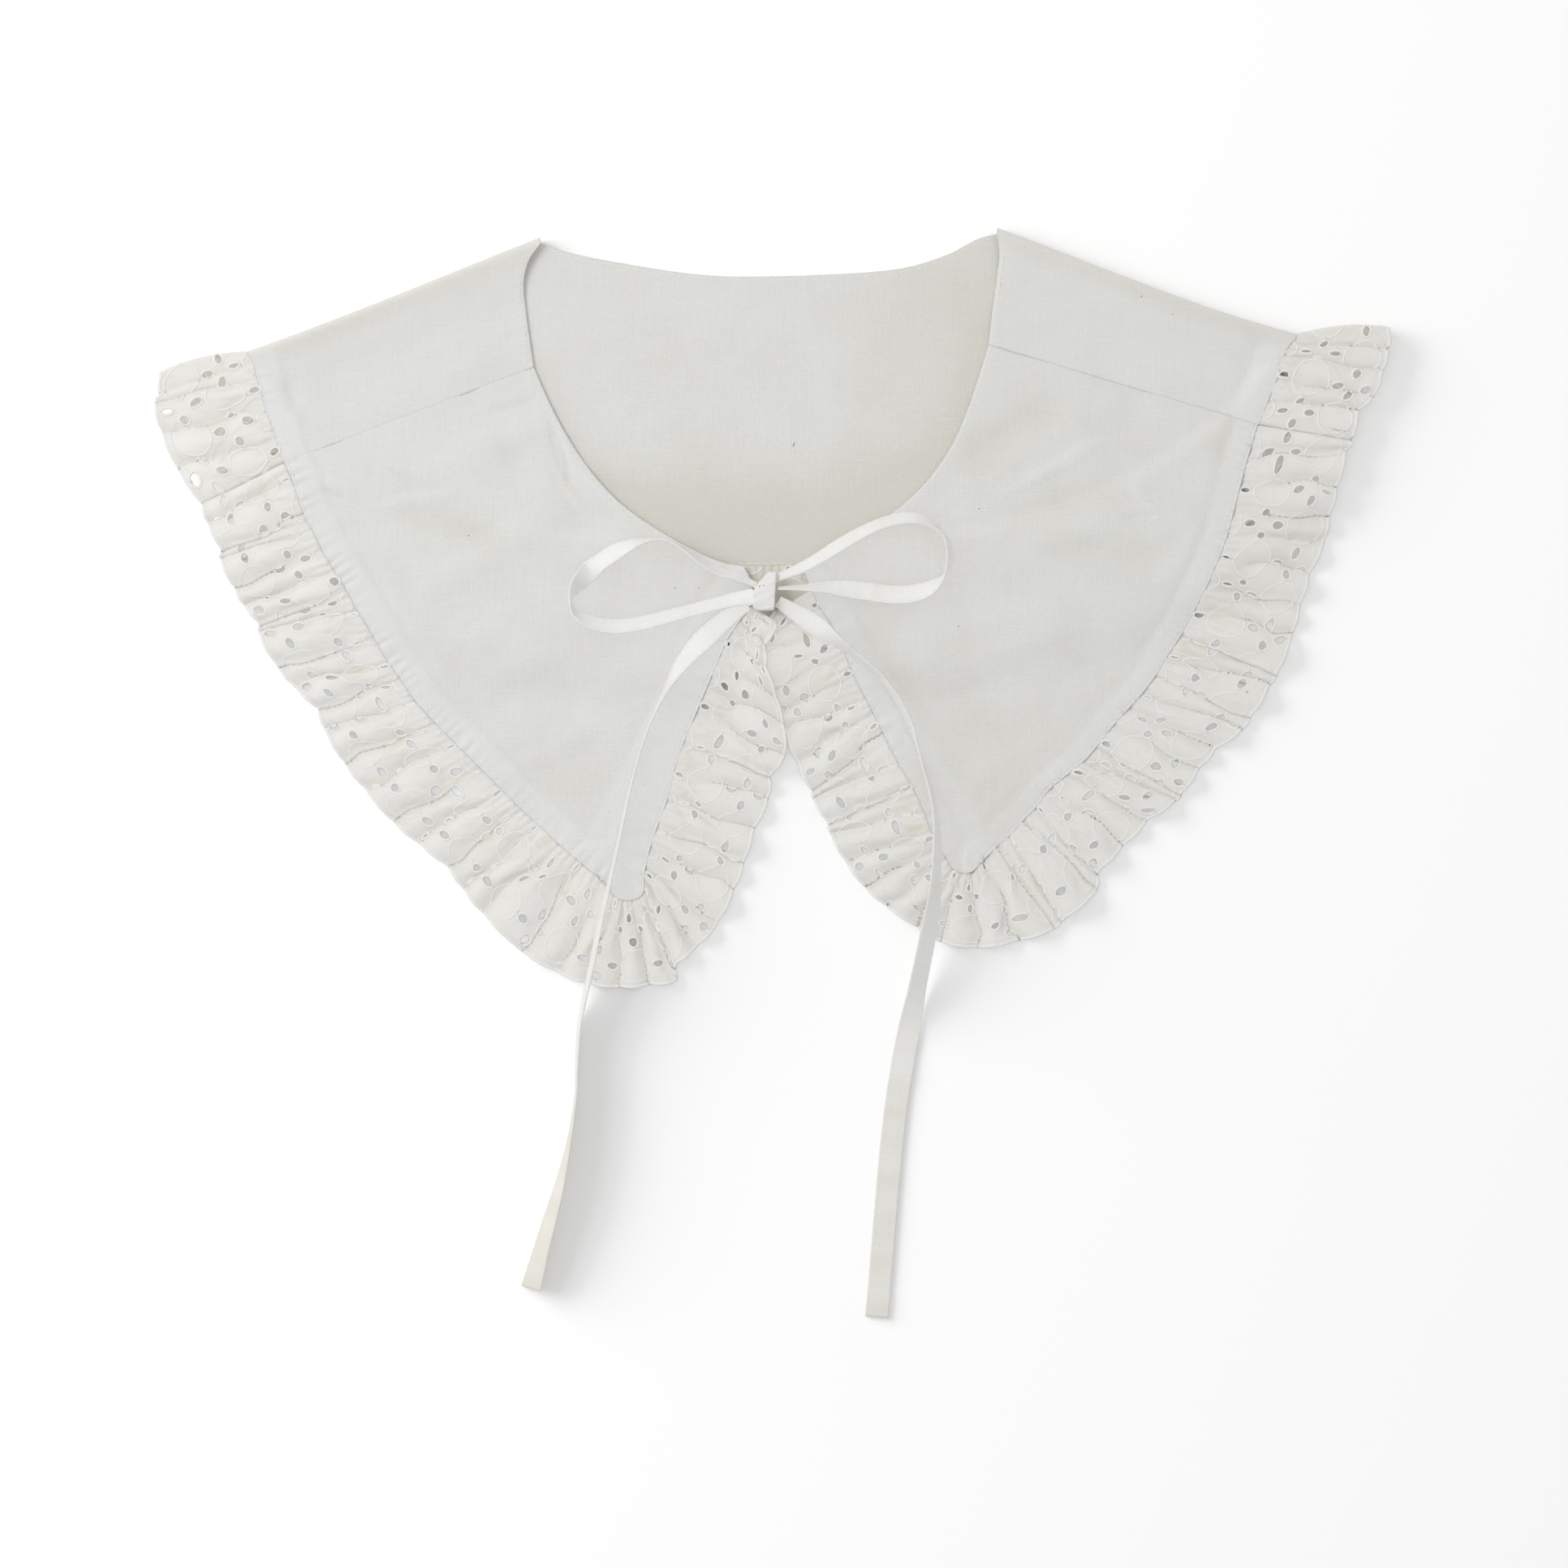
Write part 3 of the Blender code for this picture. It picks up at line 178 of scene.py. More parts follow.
# Creases given one by one: from one end to the other, bowed to the right of that way in the middle,
# a ridge where height is above 0 and a trough where it is below
Stroke = namedtuple("Stroke", "x0 y0 x1 y1 bow width height")
STROKES_LEFT = rows_of(Stroke, (
    (-131.5, 30.6, -84, 20, -2, 5.5, -0.75), (-131, 32.5, -102, 37, -1.5, 2, 0.35),
    (-122, 6, -96, 12, 0, 8, 0.35), (-150.9, 38.9, -139.7, 34.7, -1, 1.1, -0.45),
    (-149.5, 41.5, -137, 37.5, -1, 1.2, 0.3), (-128.8, 47.2, -116.3, 41.6, 0.8, 1, -0.3),
    (-96.8, 63.8, -76.5, 69.4, 0.6, 1.5, -0.35), (-90, 88, -79.5, 90.5, 0, 1.5, -0.25),
    (-76.3, 65.5, -67, 32, -3.2, 1.2, -0.4), (-74.8, 62, -58.5, 30.5, 3, 1.2, -0.4),
    (-74.4, 64, -47.5, 29.5, 2.8, 1.7, 0.35), (-75.5, 50, -61, 25, 1.5, 1.3, -0.25),
    (-92, 55, -80, 49, 1, 3, -0.3), (-160.5, 75, -157.5, 62, 0, 2, -0.4),
    (-150, 72, -138, 66, 0, 4, -0.25), (-110, 74, -92, 84, 1, 5, 0.25),
    (-118, -4, -100, -20, 0, 5, -0.25), (-74, -8, -50, -24, 0, 6, -0.3), (-66, -30, -48, -46, 0, 5, 0.3),
))
STROKES_RIGHT = rows_of(Stroke, (
    (57.6, 42.2, 98.8, 67.8, -2, 6, -0.95), (76, 38, 111.6, 57.4, 0.5, 2, 0.45),
    (70, 36, 98, 48.5, 0.8, 1.2, 0.3), (73.2, 27, 121, 37, -2.5, 5, -0.7),
    (117, 42.5, 130, 25, 1, 1.7, 0.45), (84, 20, 134, 14, -2, 4.5, -0.45),
    (27, -4, 53, -46, -1.5, 5, -0.5), (119.5, 31, 116, 27.5, 0.3, 0.9, -0.35),
    (121, 30, 126, 32, 0, 0.9, -0.3), (100, 78, 128, 70, 1, 4, -0.25), (150, 84, 160, 76, 0, 3, -0.35),
    (146, 58, 147.5, 46, 0, 2.2, -0.3), (60, -6, 98, 4, 1.5, 6, 0.3), (96, -16, 116, -28, 0, 4, -0.3),
    (64, -62, 76, -58, 0, 2, -0.3), (58, -30, 78, -42, 0, 6, -0.3),
))
STROKES_BACK = rows_of(Stroke, (
    (-40, 98, -12, 84, -2, 6, -0.35), (-38, 46, -8, 50, -4, 7, -0.35), (22, 42, 54, 57, 2, 6, -0.45),
    (52, 104, 70, 98, 1, 5, -0.4), (10, 74, 40, 86, 0, 9, 0.3), (-60, 78, -44, 60, 0, 8, 0.25),
    (0, 100, -2, 70, 0, 3, -0.12),
))

# Ties: low is the height of the lower edge, tilt turns the band from flat (0) to on edge (90). From 0
# to 90 the edge to the left of the way is the raised one, below 0 or above 90 the edge to its right.
Band = namedtuple("Band", "x y low tilt width", defaults=(TIE_WIDTH,))
LOOP_LEFT = rows_of(Band, (
    (-8, 8.2, 4.7, 50, 3), (-12.5, 9.9, 4.3, 58, 4.6), (-17.5, 11.6, 4, 62, 6.4), (-22.5, 14.2, 3.9, 68),
    (-28.5, 18.4, 3.9, 78), (-32.5, 20.8, 3.6, 84), (-37, 22.2, 3.4, 88), (-42.5, 21.8, 3.4, 78),
    (-47.5, 20.2, 3.7, 60), (-52.5, 17.8, 3.9, 42), (-57.3, 14.6, 3.9, 34, 6.8),
    (-62, 10.4, 3.9, -28, 6.8), (-65.4, 6, 3.9, -62), (-66.8, 2, 3.9, -88), (-65.4, -1.6, 4, -74),
    (-61.5, -4.3, 4.3, -60), (-56, -5.9, 4.1, -53), (-50.5, -6.2, 3.9, -52), (-43.5, -5.2, 3.9, -54),
    (-36, -3.3, 3.9, -56), (-27, -0.9, 4.2, -58), (-19, 1.1, 5.4, -54, 6.8), (-13, 2.5, 6.3, -40, 6),
    (-7.8, 3.3, 7.4, -16, 5.6),
))
LOOP_RIGHT = rows_of(Band, (
    (1.3, 9.9, 5.2, 134, 3.4), (4.8, 11.2, 4.8, 128, 4.8), (9.5, 13.2, 4.3, 123, 6.4),
    (14.6, 16, 3.9, 121), (20.6, 19.8, 3.9, 124), (26.5, 23.3, 3.4, 123), (32, 26.1, 3.2, 120),
    (37.5, 28.2, 3.1, 121), (42.5, 29.3, 3, 121), (47.5, 29, 3, 115), (52, 27, 3.2, 106),
    (55.4, 23.8, 3.4, 94), (57.2, 20, 3.8, 104), (57.6, 15.6, 3.9, 106), (56.4, 11.6, 3.9, 96),
    (53.2, 8, 3.9, 66), (49, 5.5, 3.9, 44), (44, 4.3, 3.9, 38), (38, 4.2, 3.9, 37), (31, 5.1, 3.9, 37),
    (24, 6, 3.9, 42), (17, 6.6, 4.1, 54, 6.6), (10, 6.5, 4.7, 66, 4.8), (5, 6.4, 5.5, 71, 3.4),
    (1.2, 6.3, 6, 74, 2.8),
))
TAIL_LEFT = rows_of(Band, (
    (-8.8, 1, 4.8, 4, 4.4), (-12.5, -1.3, 4.3, 4, 5.2), (-17, -4.9, 3.9, 6, 6.2),
    (-21.5, -8.9, 3.9, 16, 7.2), (-26.3, -13.8, 3.9, 34), (-31, -19.6, 3.9, 55), (-35.3, -26.8, 3.1, 77),
    (-39.4, -35, 2, 86), (-43.2, -45, 1.5, 88), (-46.4, -56, 1.4, 87), (-49, -67, 1.4, 84),
    (-51.4, -78.5, 1.6, 84), (-54, -90, 2.3, 82), (-57, -103, 2.8, 78), (-59.6, -116, 2.4, 78),
    (-62, -127, 1.4, 79), (-63.8, -136, 0.2, 81), (-64.6, -147, 0, 83), (-65, -159, 0, 85),
    (-66.5, -171, 0, 82), (-68.4, -181, 0, 75), (-71, -192, 0, 63), (-74.2, -203, 0, 53),
    (-77, -213, 0, 44), (-79.8, -223.6, 0, 26),
))
TAIL_RIGHT = rows_of(Band, (
    (1.2, 2, 5.6, 10, 3.9), (5, -0.4, 5.2, 10, 5), (9.4, -3.2, 4.9, 14, 6.2), (13.4, -5.9, 4.7, 26, 7),
    (16.8, -8.3, 4.9, 46), (20.2, -10.9, 5.1, 64), (23.6, -13.4, 4.9, 73), (27.4, -16.3, 4.1, 76),
    (32.4, -20.4, 3.7, 78), (36.8, -25, 3.1, 80), (40.6, -30.4, 2.2, 78), (44.7, -38.4, 1.5, 82),
    (46.9, -45.4, 1.4, 89), (49, -52.5, 1.4, 95), (51.4, -60, 1.4, 100), (52.8, -67.5, 1.5, 102),
    (53.3, -75, 2, 107), (53.3, -82.5, 2.8, 112), (52.8, -91, 2.8, 117), (51.8, -99.7, 2.9, 129),
    (50.4, -107.5, 2.6, 136), (48.8, -115.5, 1.8, 138), (47.2, -123.5, 0.7, 140), (45.8, -131, 0, 152),
    (44.2, -139, 0, 170), (42.4, -148.5, 0, 180), (40.4, -161, 0, 180), (38.6, -176, 0, 180),
    (37.2, -191, 0, 180), (35.9, -206.5, 0, 180), (34.7, -221, 0, 180), (33.6, -233, 0, 180),
))

KnotRing = namedtuple("KnotRing", "y left right low high")
KNOT = rows_of(KnotRing, (
    (-1, -5.6, -0.3, 5.8, 8.4), (-0.4, -6.6, 0, 5.1, 9.2), (1.5, -7.2, 0.2, 4.8, 9.8),
    (4.5, -7.2, 0.3, 4.8, 10), (7.5, -5.6, 0.5, 4.8, 10), (9.8, -3.6, 0.6, 4.8, 9.7),
    (11, -2.6, 0.6, 5.1, 9.2), (11.6, -1.9, 0.4, 5.8, 8.4),
))


# ---- numbers and lines

def to_row(points):
    return (np.asarray(points, float) - CENTRE) * MM


def lerp(a, b, t):
    return a + (b - a) * t


def ease(t):
    t = np.clip(t, 0.0, 1.0)
    return t * t * (3.0 - 2.0 * t)


def unit(vectors):
    return vectors / np.maximum(np.linalg.norm(vectors, axis=-1, keepdims=True), 1e-9)


def steps(count):
    return np.linspace(0.0, 1.0, count + 1)


def smooth(points, per_span):
    """Points on a smooth curve through the given ones, as the solids have it."""
    points = np.array(points, float)
    spans = np.linalg.norm(np.diff(points, axis=0), axis=1)[:, None]
    slopes = np.empty_like(points)
    slopes[0] = (points[1] - points[0]) / spans[0]
    slopes[-1] = (points[-1] - points[-2]) / spans[-1]
    slopes[1:-1] = (points[2:] - points[:-2]) / (spans[1:] + spans[:-1])
    t = (np.arange(per_span) / per_span)[:, None]
    t2, t3 = t * t, t * t * t
    rows = []
    for i, span in enumerate(spans):
        rows.append(points[i] * (2 * t3 - 3 * t2 + 1) + slopes[i] * span * (t3 - 2 * t2 + t)
                    + points[i + 1] * (3 * t2 - 2 * t3) + slopes[i + 1] * span * (t3 - t2))
    rows.append(points[-1:])
    return np.vstack(rows)


class Line:
    """A smooth plane curve that is read by its share of length."""

    def __init__(self, points, per_span=8):
        self.points = smooth(points, per_span)
        runs = np.linalg.norm(np.diff(self.points, axis=0), axis=1)
        self.lengths = np.concatenate(([0.0], np.cumsum(runs)))
        self.length = self.lengths[-1]

    def at(self, share):
        target = np.asarray(share, float) * self.length
        return np.stack([np.interp(target, self.lengths, self.points[:, k]) for k in (0, 1)], axis=-1)

    def side(self, share):
        """Unit normal to the right of the way along the curve."""
        step = 0.5 / self.length
        way = self.at(np.minimum(share + step, 1.0)) - self.at(np.maximum(share - step, 0.0))
        return unit(np.stack((way[..., 1], -way[..., 0]), axis=-1))

    def moved(self, offset):
        return self.points + self.side(self.lengths / self.length) * offset


def nearest(points, line):
    """Distance of each point to a line of points, and how far along the line that is."""
    shape = points.shape[:-1]
    flat = points.reshape(-1, 2)
    best = np.full(len(flat), np.inf)
    along = np.zeros(len(flat))
    run = 0.0
    for a, b in zip(line[:-1], line[1:]):
        way = b - a
        length = np.hypot(*way)
        t = np.clip((flat - a) @ way / length ** 2, 0.0, 1.0)
        away = np.hypot(*(flat - a - t[:, None] * way).T)
        closer = away < best
        best = np.where(closer, away, best)
        along = np.where(closer, run + t * length, along)
        run += length
    return best.reshape(shape), along.reshape(shape)


def inside(points, outline):
    crossings = np.zeros(points.shape[:-1], int)
    x, y = points[..., 0], points[..., 1]
    for a, b in zip(outline, np.roll(outline, -1, axis=0)):
        if a[1] != b[1]:
            level = a[0] + (y - a[1]) * (b[0] - a[0]) / (b[1] - a[1])
            crossings += ((a[1] > y) != (b[1] > y)) & (x < level)
    return crossings % 2 == 1


def clouds(points, size, seed):
    """Soft noise between -1 and 1, of that size in millimetres."""
    flat = points.reshape(-1, 2) / size
    values = [noise.noise((x, y, seed * 7.3)) for x, y in flat]
    return np.array(values).reshape(points.shape[:-1])


def bell(t):
    return np.exp(-t * t)


# ---- heights

NECK_LINE = Line(BACK_NECK)
SEAM_LINE = Line(BACK_SEAM, 4)
BACK_OUTLINE = np.vstack((NECK_LINE.points, SEAM_LINE.points[::-1]))


def fold_distance(points):
    gaps = []
    for fold in (FOLD_LEFT, FOLD_RIGHT):
        gaps.append(nearest(points, np.array((fold.neck, fold.seam, fold.edge)))[0])
    return np.where(points[..., 0] < 0, gaps[0], gaps[1])


def rest(points):
    """Height of the underside of what lies on the back panel and its ruffle, or on the surface."""
    away = nearest(points, SEAM_LINE.points)[0]
    on_lace = LACE + BACK_LACE_RISE + GAP
    within = lerp(CLOTH + GAP, on_lace, ease((COVER_IN - away) / COVER_RISE))
    beyond = on_lace * (1.0 - ease((away - COVER_OUT) / COVER_FALL))
    height = np.where(inside(points, BACK_OUTLINE), within, beyond)
    return lerp(2.0 * FOLD_RADIUS, height, ease(fold_distance(points) / FOLD_SOFT))


def stroke_line(stroke):
    start, end = np.array(stroke[:2]), np.array(stroke[2:4])
    way = unit(end - start)
    middle = (start + end) / 2 + np.array((way[1], -way[0])) * stroke.bow
    return smooth((start, middle, end), 6)


def stroke_height(points, strokes):
    total = np.zeros(points.shape[:-1])
    for stroke in strokes:
        line = stroke_line(stroke)
        away, along = nearest(points, line)
        share = along / np.linalg.norm(np.diff(line, axis=0), axis=1).sum()
        ends = ease(np.minimum(share, 1.0 - share) / 0.3)
        total += stroke.height * bell(away / stroke.width) * ends
    return total


def ridge_height(points, ridges):
    total = np.zeros(points.shape[:-1])
    for ridge in ridges:
        away = nearest(points, np.array((ridge[:2], ridge[2:4])))[0]
        total += ridge.height * (1.0 - ease(away / ridge.reach))
    return total


def crumple(points, seed):
    return (clouds(points, 26.0, seed) * 0.6 + clouds(points, 9.0, seed + 1) * 0.24
            + clouds(points, 3.5, seed + 2) * 0.06)


def edge_form(away):
    """A turned edge: rounded down at the edge, with a groove where it is topstitched."""
    return -0.28 * (1.0 - ease(away / 0.9)) - 0.1 * bell((away - NECK_STITCH) / 0.4)


def seam_form(away, along, band, pitch, strength):
    """Cloth over a seam allowance: raised, edged by a soft crease, and puckered by the stitches."""
    wander = along + 0.9 * np.sin(along * 0.31) + 0.5 * np.sin(along * 0.83 + 1.0)
    pucker = np.cos(2.0 * np.pi * wander / pitch) * (0.6 + 0.4 * np.sin(along * 0.19))
    reach = 1.0 - ease((away - 0.8) / (band - 0.8))
    raised = 0.16 * (1.0 - ease((away - band + 1.0) / 2.0))
    uneven = 0.65 + 0.35 * np.sin(along * 0.11 + 2.0) * np.sin(along * 0.043)
    trough = -0.42 * uneven * bell((away - band - 1.6) / 1.7)
    return raised + trough + strength * pucker * reach - 0.16 * bell((away - SEAM_STITCH) / 0.3)


# ---- meshes

LOWEST = 0.45               # the middle of a sheet that is thickened stays that far above the table


def show(name, data):
    made = bpy.data.objects.new(name, data)
    bpy.context.scene.collection.objects.link(made)
    return made


def add_mesh(name, points, faces, cloth, uv, tint=None, lowest=0.0):
    """Object from points in the tables' millimetres, none below lowest. uv is in centimetres, and the
    optional per-point values carry painted shade, painted light and uneven tone.
    """
    mesh = bpy.data.meshes.new(name)
    points = np.array(points, float)
    points[:, 2] = np.maximum(points[:, 2], lowest)
    mesh.from_pydata(to_row(points).tolist(), [], faces)
    mesh.shade_smooth()
    corners = np.empty(len(mesh.loops), int)
    mesh.loops.foreach_get("vertex_index", corners)
    layer = mesh.uv_layers.new(name="cloth")
    layer.data.foreach_set("uv", np.asarray(uv, float)[corners].ravel())
    if tint is not None:
        layer = mesh.attributes.new("tint", "FLOAT", "POINT")
        layer.data.foreach_set("value", np.asarray(tint, float))
    mesh.materials.append(cloth)
    return show(name, mesh)


def thicken(piece, thickness):
    shell = piece.modifiers.new("shell", "SOLIDIFY")
    shell.thickness = thickness * MM
    shell.offset = 0.0
    return piece


def grid_faces(rows, columns):
    index = np.arange(rows * columns).reshape(rows, columns)
    a, b = index[:-1, :-1], index[1:, :-1]
    c, d = index[1:, 1:], index[:-1, 1:]
    return np.stack((a, b, c, d), axis=-1).reshape(-1, 4).tolist()


def ring_faces(rows, sides):
    """Faces of a tube of rings, closed at both ends."""
    index = np.arange(rows * sides).reshape(rows, sides)
    after = np.roll(index, -1, axis=1)
    faces = np.stack((index[:-1], after[:-1], after[1:], index[1:]), axis=-1).reshape(-1, 4).tolist()
    return faces + [index[0, ::-1].tolist(), index[-1].tolist()]


def grid_normals(grid):
    along, across = np.gradient(grid, axis=0), np.gradient(grid, axis=1)
    return unit(np.cross(along, across))


def tubes(paths, normals, half_width, half_height, closed, sides=6):
    """Flattened tubes along paths of shape (count, points, 3), as points, faces and uv."""
    count, length = paths.shape[:2]
    if closed:
        way = np.roll(paths, -1, axis=1) - np.roll(paths, 1, axis=1)
    else:
        way = np.gradient(paths, axis=1)
    across = unit(np.cross(way, normals))
    angle = 2.0 * np.pi * np.arange(sides) / sides
    wide, high = np.cos(angle) * half_width, np.sin(angle) * half_height
    rings = (paths[:, :, None] + across[:, :, None] * wide[:, None]
             + normals[:, :, None] * high[:, None])
    index = np.arange(count * length * sides).reshape(count, length, sides)
    after = np.roll(index, -1, axis=1) if closed else index[:, 1:]
    here = index if closed else index[:, :-1]
    faces = np.stack((here, np.roll(here, -1, axis=2), np.roll(after, -1, axis=2), after), axis=-1)
    faces = faces.reshape(-1, 4).tolist()
    if not closed:
        faces += index[:, 0, ::-1].tolist() + index[:, -1].tolist()
    runs = np.linalg.norm(np.diff(paths, axis=1), axis=2)
    run = np.concatenate((np.zeros((count, 1)), np.cumsum(runs, axis=1)), axis=1) / CM
    uv = np.stack(np.broadcast_arrays(run[:, :, None], (np.arange(sides) / sides)[None, None, :]), axis=-1)
    return rings.reshape(-1, 3), faces, uv.reshape(-1, 2)


def capsules(starts, ends, normals, radius, sides=5):
    """Small stitches from starts to ends, as points, faces and uv."""
    way = ends - starts
    across = unit(np.cross(way, normals))
    angle = 2.0 * np.pi * np.arange(sides) / sides
    ring = across[:, None] * np.cos(angle)[:, None] + normals[:, None] * np.sin(angle)[:, None]
    near = (starts + way * STITCH_TAPER)[:, None] + ring * radius
    far = (ends - way * STITCH_TAPER)[:, None] + ring * radius
    low = normals * radius * 0.6
    points = np.concatenate(((starts - low)[:, None], near, far, (ends - low)[:, None]), axis=1)
    size = 2 * sides + 2
    faces = []
    for k in range(sides):
        m = (k + 1) % sides
        faces += [(0, 1 + m, 1 + k), (1 + k, 1 + m, 1 + sides + m), (1 + k, 1 + sides + m, 1 + sides + k),
                  (size - 1, 1 + sides + k, 1 + sides + m)]
    faces = np.array(faces)[None] + (np.arange(len(starts)) * size)[:, None, None]
    share = np.concatenate(([0.0], np.full(sides, STITCH_TAPER), np.full(sides, 1.0 - STITCH_TAPER), [1.0]))
    length = np.linalg.norm(way, axis=1)[:, None] / CM
    uv = np.stack(np.broadcast_arrays(share[None] * length, (np.arange(size) / size)[None]), axis=-1)
    return points.reshape(-1, 3), faces.reshape(-1, 3).tolist(), uv.reshape(-1, 2)


def joined(name, parts, cloth):
    """One object of several (points, faces, uv)."""
    points, faces, uv = [], [], []
    count = 0
    for part_points, part_faces, part_uv in parts:
        points.append(part_points)
        uv.append(part_uv)
        faces += [[corner + count for corner in face] for face in part_faces]
        count += len(part_points)
    return add_mesh(name, np.vstack(points), faces, cloth, np.vstack(uv))


def settle(piece, slot, *nodes):
    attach(piece, "root")
    if nodes:
        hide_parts(*nodes)
    return piece


# ---- materials

# BEIGE is the cloth's mottle and slubs, and also the colour of painted shade; BRIGHT is painted light on
# ridges and the lighter seam allowance bands.
WHITE = (0.945, 0.945, 0.940, 1.0)
BRIGHT = (0.955, 0.955, 0.952, 1.0)
BEIGE = (0.840, 0.822, 0.752, 1.0)
LACE_WHITE = (0.915, 0.910, 0.893, 1.0)
TAPE_WHITE = (0.940, 0.940, 0.940, 1.0)
RUST = (0.42, 0.19, 0.07, 1.0)
GREY = (0.33, 0.31, 0.29, 1.0)


def fill(tree, made, inputs):
    for key, value in dict(inputs).items():
        if isinstance(value, bpy.types.NodeSocket):
            tree.links.new(value, made.inputs[key])
        else:
            made.inputs[key].default_value = value


def node(tree, kind, inputs=(), **settings):
    made = tree.nodes.new(kind)
    for key, value in settings.items():
        setattr(made, key, value)
    fill(tree, made, inputs)
    return made


def maths(tree, operation, *values, clamp=False):
    return node(tree, "ShaderNodeMath", enumerate(values), operation=operation, use_clamp=clamp).outputs[0]


def grain(tree, place, scale, detail):
    return node(tree, "ShaderNodeTexNoise", {"Vector": place, "Scale": scale, "Detail": detail}).outputs[0]


def ranged(tree, value, before, after):
    inputs = {0: value, 1: before[0], 2: before[1], 3: after[0], 4: after[1]}
    return node(tree, "ShaderNodeMapRange", inputs).outputs[0]


def mixed(tree, share, first, second):
    return node(tree, "ShaderNodeMix", {0: share, 6: first, 7: second}, data_type="RGBA").outputs[2]


def bumped(tree, strength, depth, height):
    inputs = {"Strength": strength, "Distance": depth, "Height": height}
    return node(tree, "ShaderNodeBump", inputs).outputs[0]


def new_material(name):
    made = bpy.data.materials.new(name)
    made.use_nodes = True
    return made, made.node_tree, made.node_tree.nodes["Principled BSDF"]


def cloth_material(name, thread, bump, mottle, through, white=WHITE, rough=0.86):
    """Sheer plain weave of threads that far apart (centimetres), with slubs, clouds, and a per-point
    attribute that paints shade and light.
    """
    made, tree, shader = new_material(name)
    place = node(tree, "ShaderNodeUVMap", uv_map="cloth").outputs[0]
    along, across = node(tree, "ShaderNodeSeparateXYZ", {0: place}).outputs[:2]
    spin = 2.0 * np.pi / thread
    weave = maths(tree, "MULTIPLY", maths(tree, "SINE", maths(tree, "MULTIPLY", along, spin)),
                  maths(tree, "SINE", maths(tree, "MULTIPLY", across, spin)))
    slubs = []
    for scale in ((0.6, 16.0, 1.0), (16.0, 0.6, 1.0)):
        stretched = node(tree, "ShaderNodeMapping", {0: place, 3: scale}).outputs[0]
        slubs.append(grain(tree, stretched, 1.0, 3.0))
    slub = maths(tree, "ADD", *slubs)
    fuzz = grain(tree, place, 26.0, 2.0)
    height = maths(tree, "MULTIPLY_ADD", weave, 0.35, maths(tree, "MULTIPLY_ADD", slub, 1.2, fuzz))
    cloud = ranged(tree, grain(tree, place, 0.45, 3.0), (0.35, 0.75), (0.0, mottle))
    thready = ranged(tree, slub, (0.8, 1.25), (0.0, 0.2))
    # Painted shade and light: where the per-point attribute is above 0 the colour darkens towards BEIGE as
    # painted shade, and where it is below 0 it lightens towards BRIGHT.
    tint = node(tree, "ShaderNodeAttribute", attribute_name="tint").outputs["Fac"]
    total = maths(tree, "ADD", maths(tree, "ADD", cloud, thready), tint, clamp=True)
    bright = maths(tree, "MULTIPLY", tint, -1.0, clamp=True)
    colour = mixed(tree, bright, mixed(tree, total, white, BEIGE), BRIGHT)
    fill(tree, shader, {"Normal": bumped(tree, bump, 0.00012, height), "Base Color": colour,
                        "Roughness": ranged(tree, fuzz, (0.0, 1.0), (rough - 0.08, rough + 0.08)),
                        "Sheen Weight": 0.12, "Sheen Roughness": 0.5, "Specular IOR Level": 0.25})
    sheer = node(tree, "ShaderNodeBsdfTranslucent", {"Color": colour})
    both = node(tree, "ShaderNodeMixShader", {0: through, 1: shader.outputs[0], 2: sheer.outputs[0]})
    fill(tree, tree.nodes["Material Output"], {"Surface": both.outputs[0]})
    return made


def thread_material(name, pitch, white, bump):
    """Satin or twisted thread: fine strands across the way along the stitch."""
    made, tree, shader = new_material(name)
    place = node(tree, "ShaderNodeUVMap", uv_map="cloth").outputs[0]
    along = node(tree, "ShaderNodeSeparateXYZ", {0: place}).outputs[0]
    jitter = grain(tree, place, 9.0, 2.0)
    run = maths(tree, "MULTIPLY", along, 2.0 * np.pi / pitch)
    strand = maths(tree, "SINE", maths(tree, "MULTIPLY_ADD", jitter, 5.0, run))
    # Painted shade between the strands: the colour darkens towards BEIGE where the strand is low.
    shade = ranged(tree, strand, (-1.0, 1.0), (0.3, 0.0))
    fill(tree, shader, {"Normal": bumped(tree, bump, 0.0001, strand),
                        "Base Color": mixed(tree, shade, white, BEIGE),
                        "Roughness": ranged(tree, jitter, (0.0, 1.0), (0.5, 0.7)), "Sheen Weight": 0.1})
    return made


# ---- camera, light and floor

Lamp = namedtuple("Lamp", "name place size power")      # in metres and watts
KEY = Lamp("key", (-0.95, 0.6, 1.25), (0.9, 0.9), 9.8)
WINDOW = Lamp("window", (-2.6, 1.1, 1.5), (3.2, 1.2), 34.0)
LOW_WINDOW = Lamp("low_window", (-3.0, 1.3, 0.75), (3.4, 1.3), 130.0)
LAMP_COLOUR = (1.0, 0.997, 0.99)
AMBIENT_COLOUR = (1.0, 0.998, 0.99, 1.0)
AMBIENT = 0.69
FLOOR_COLOURS = ((0.955, 0.955, 0.96, 1.0), (0.965, 0.965, 0.97, 1.0))
FLOOR_HALF = 4.0            # metres


def camera():
    data = bpy.data.cameras.new("camera")
    data.sensor_width = SENSOR
    data.lens = SENSOR * CAMERA_HEIGHT / VIEW_WIDTH
    data.clip_end = 50.0
    made = show("camera", data)
    made.location = (VIEW_CENTRE[0] * MM, VIEW_CENTRE[1] * MM, CAMERA_HEIGHT * MM)
    bpy.context.scene.camera = made


def group(name, pieces):
    made = bpy.data.collections.new(name)
    for piece in pieces:
        made.objects.link(piece)
    return made


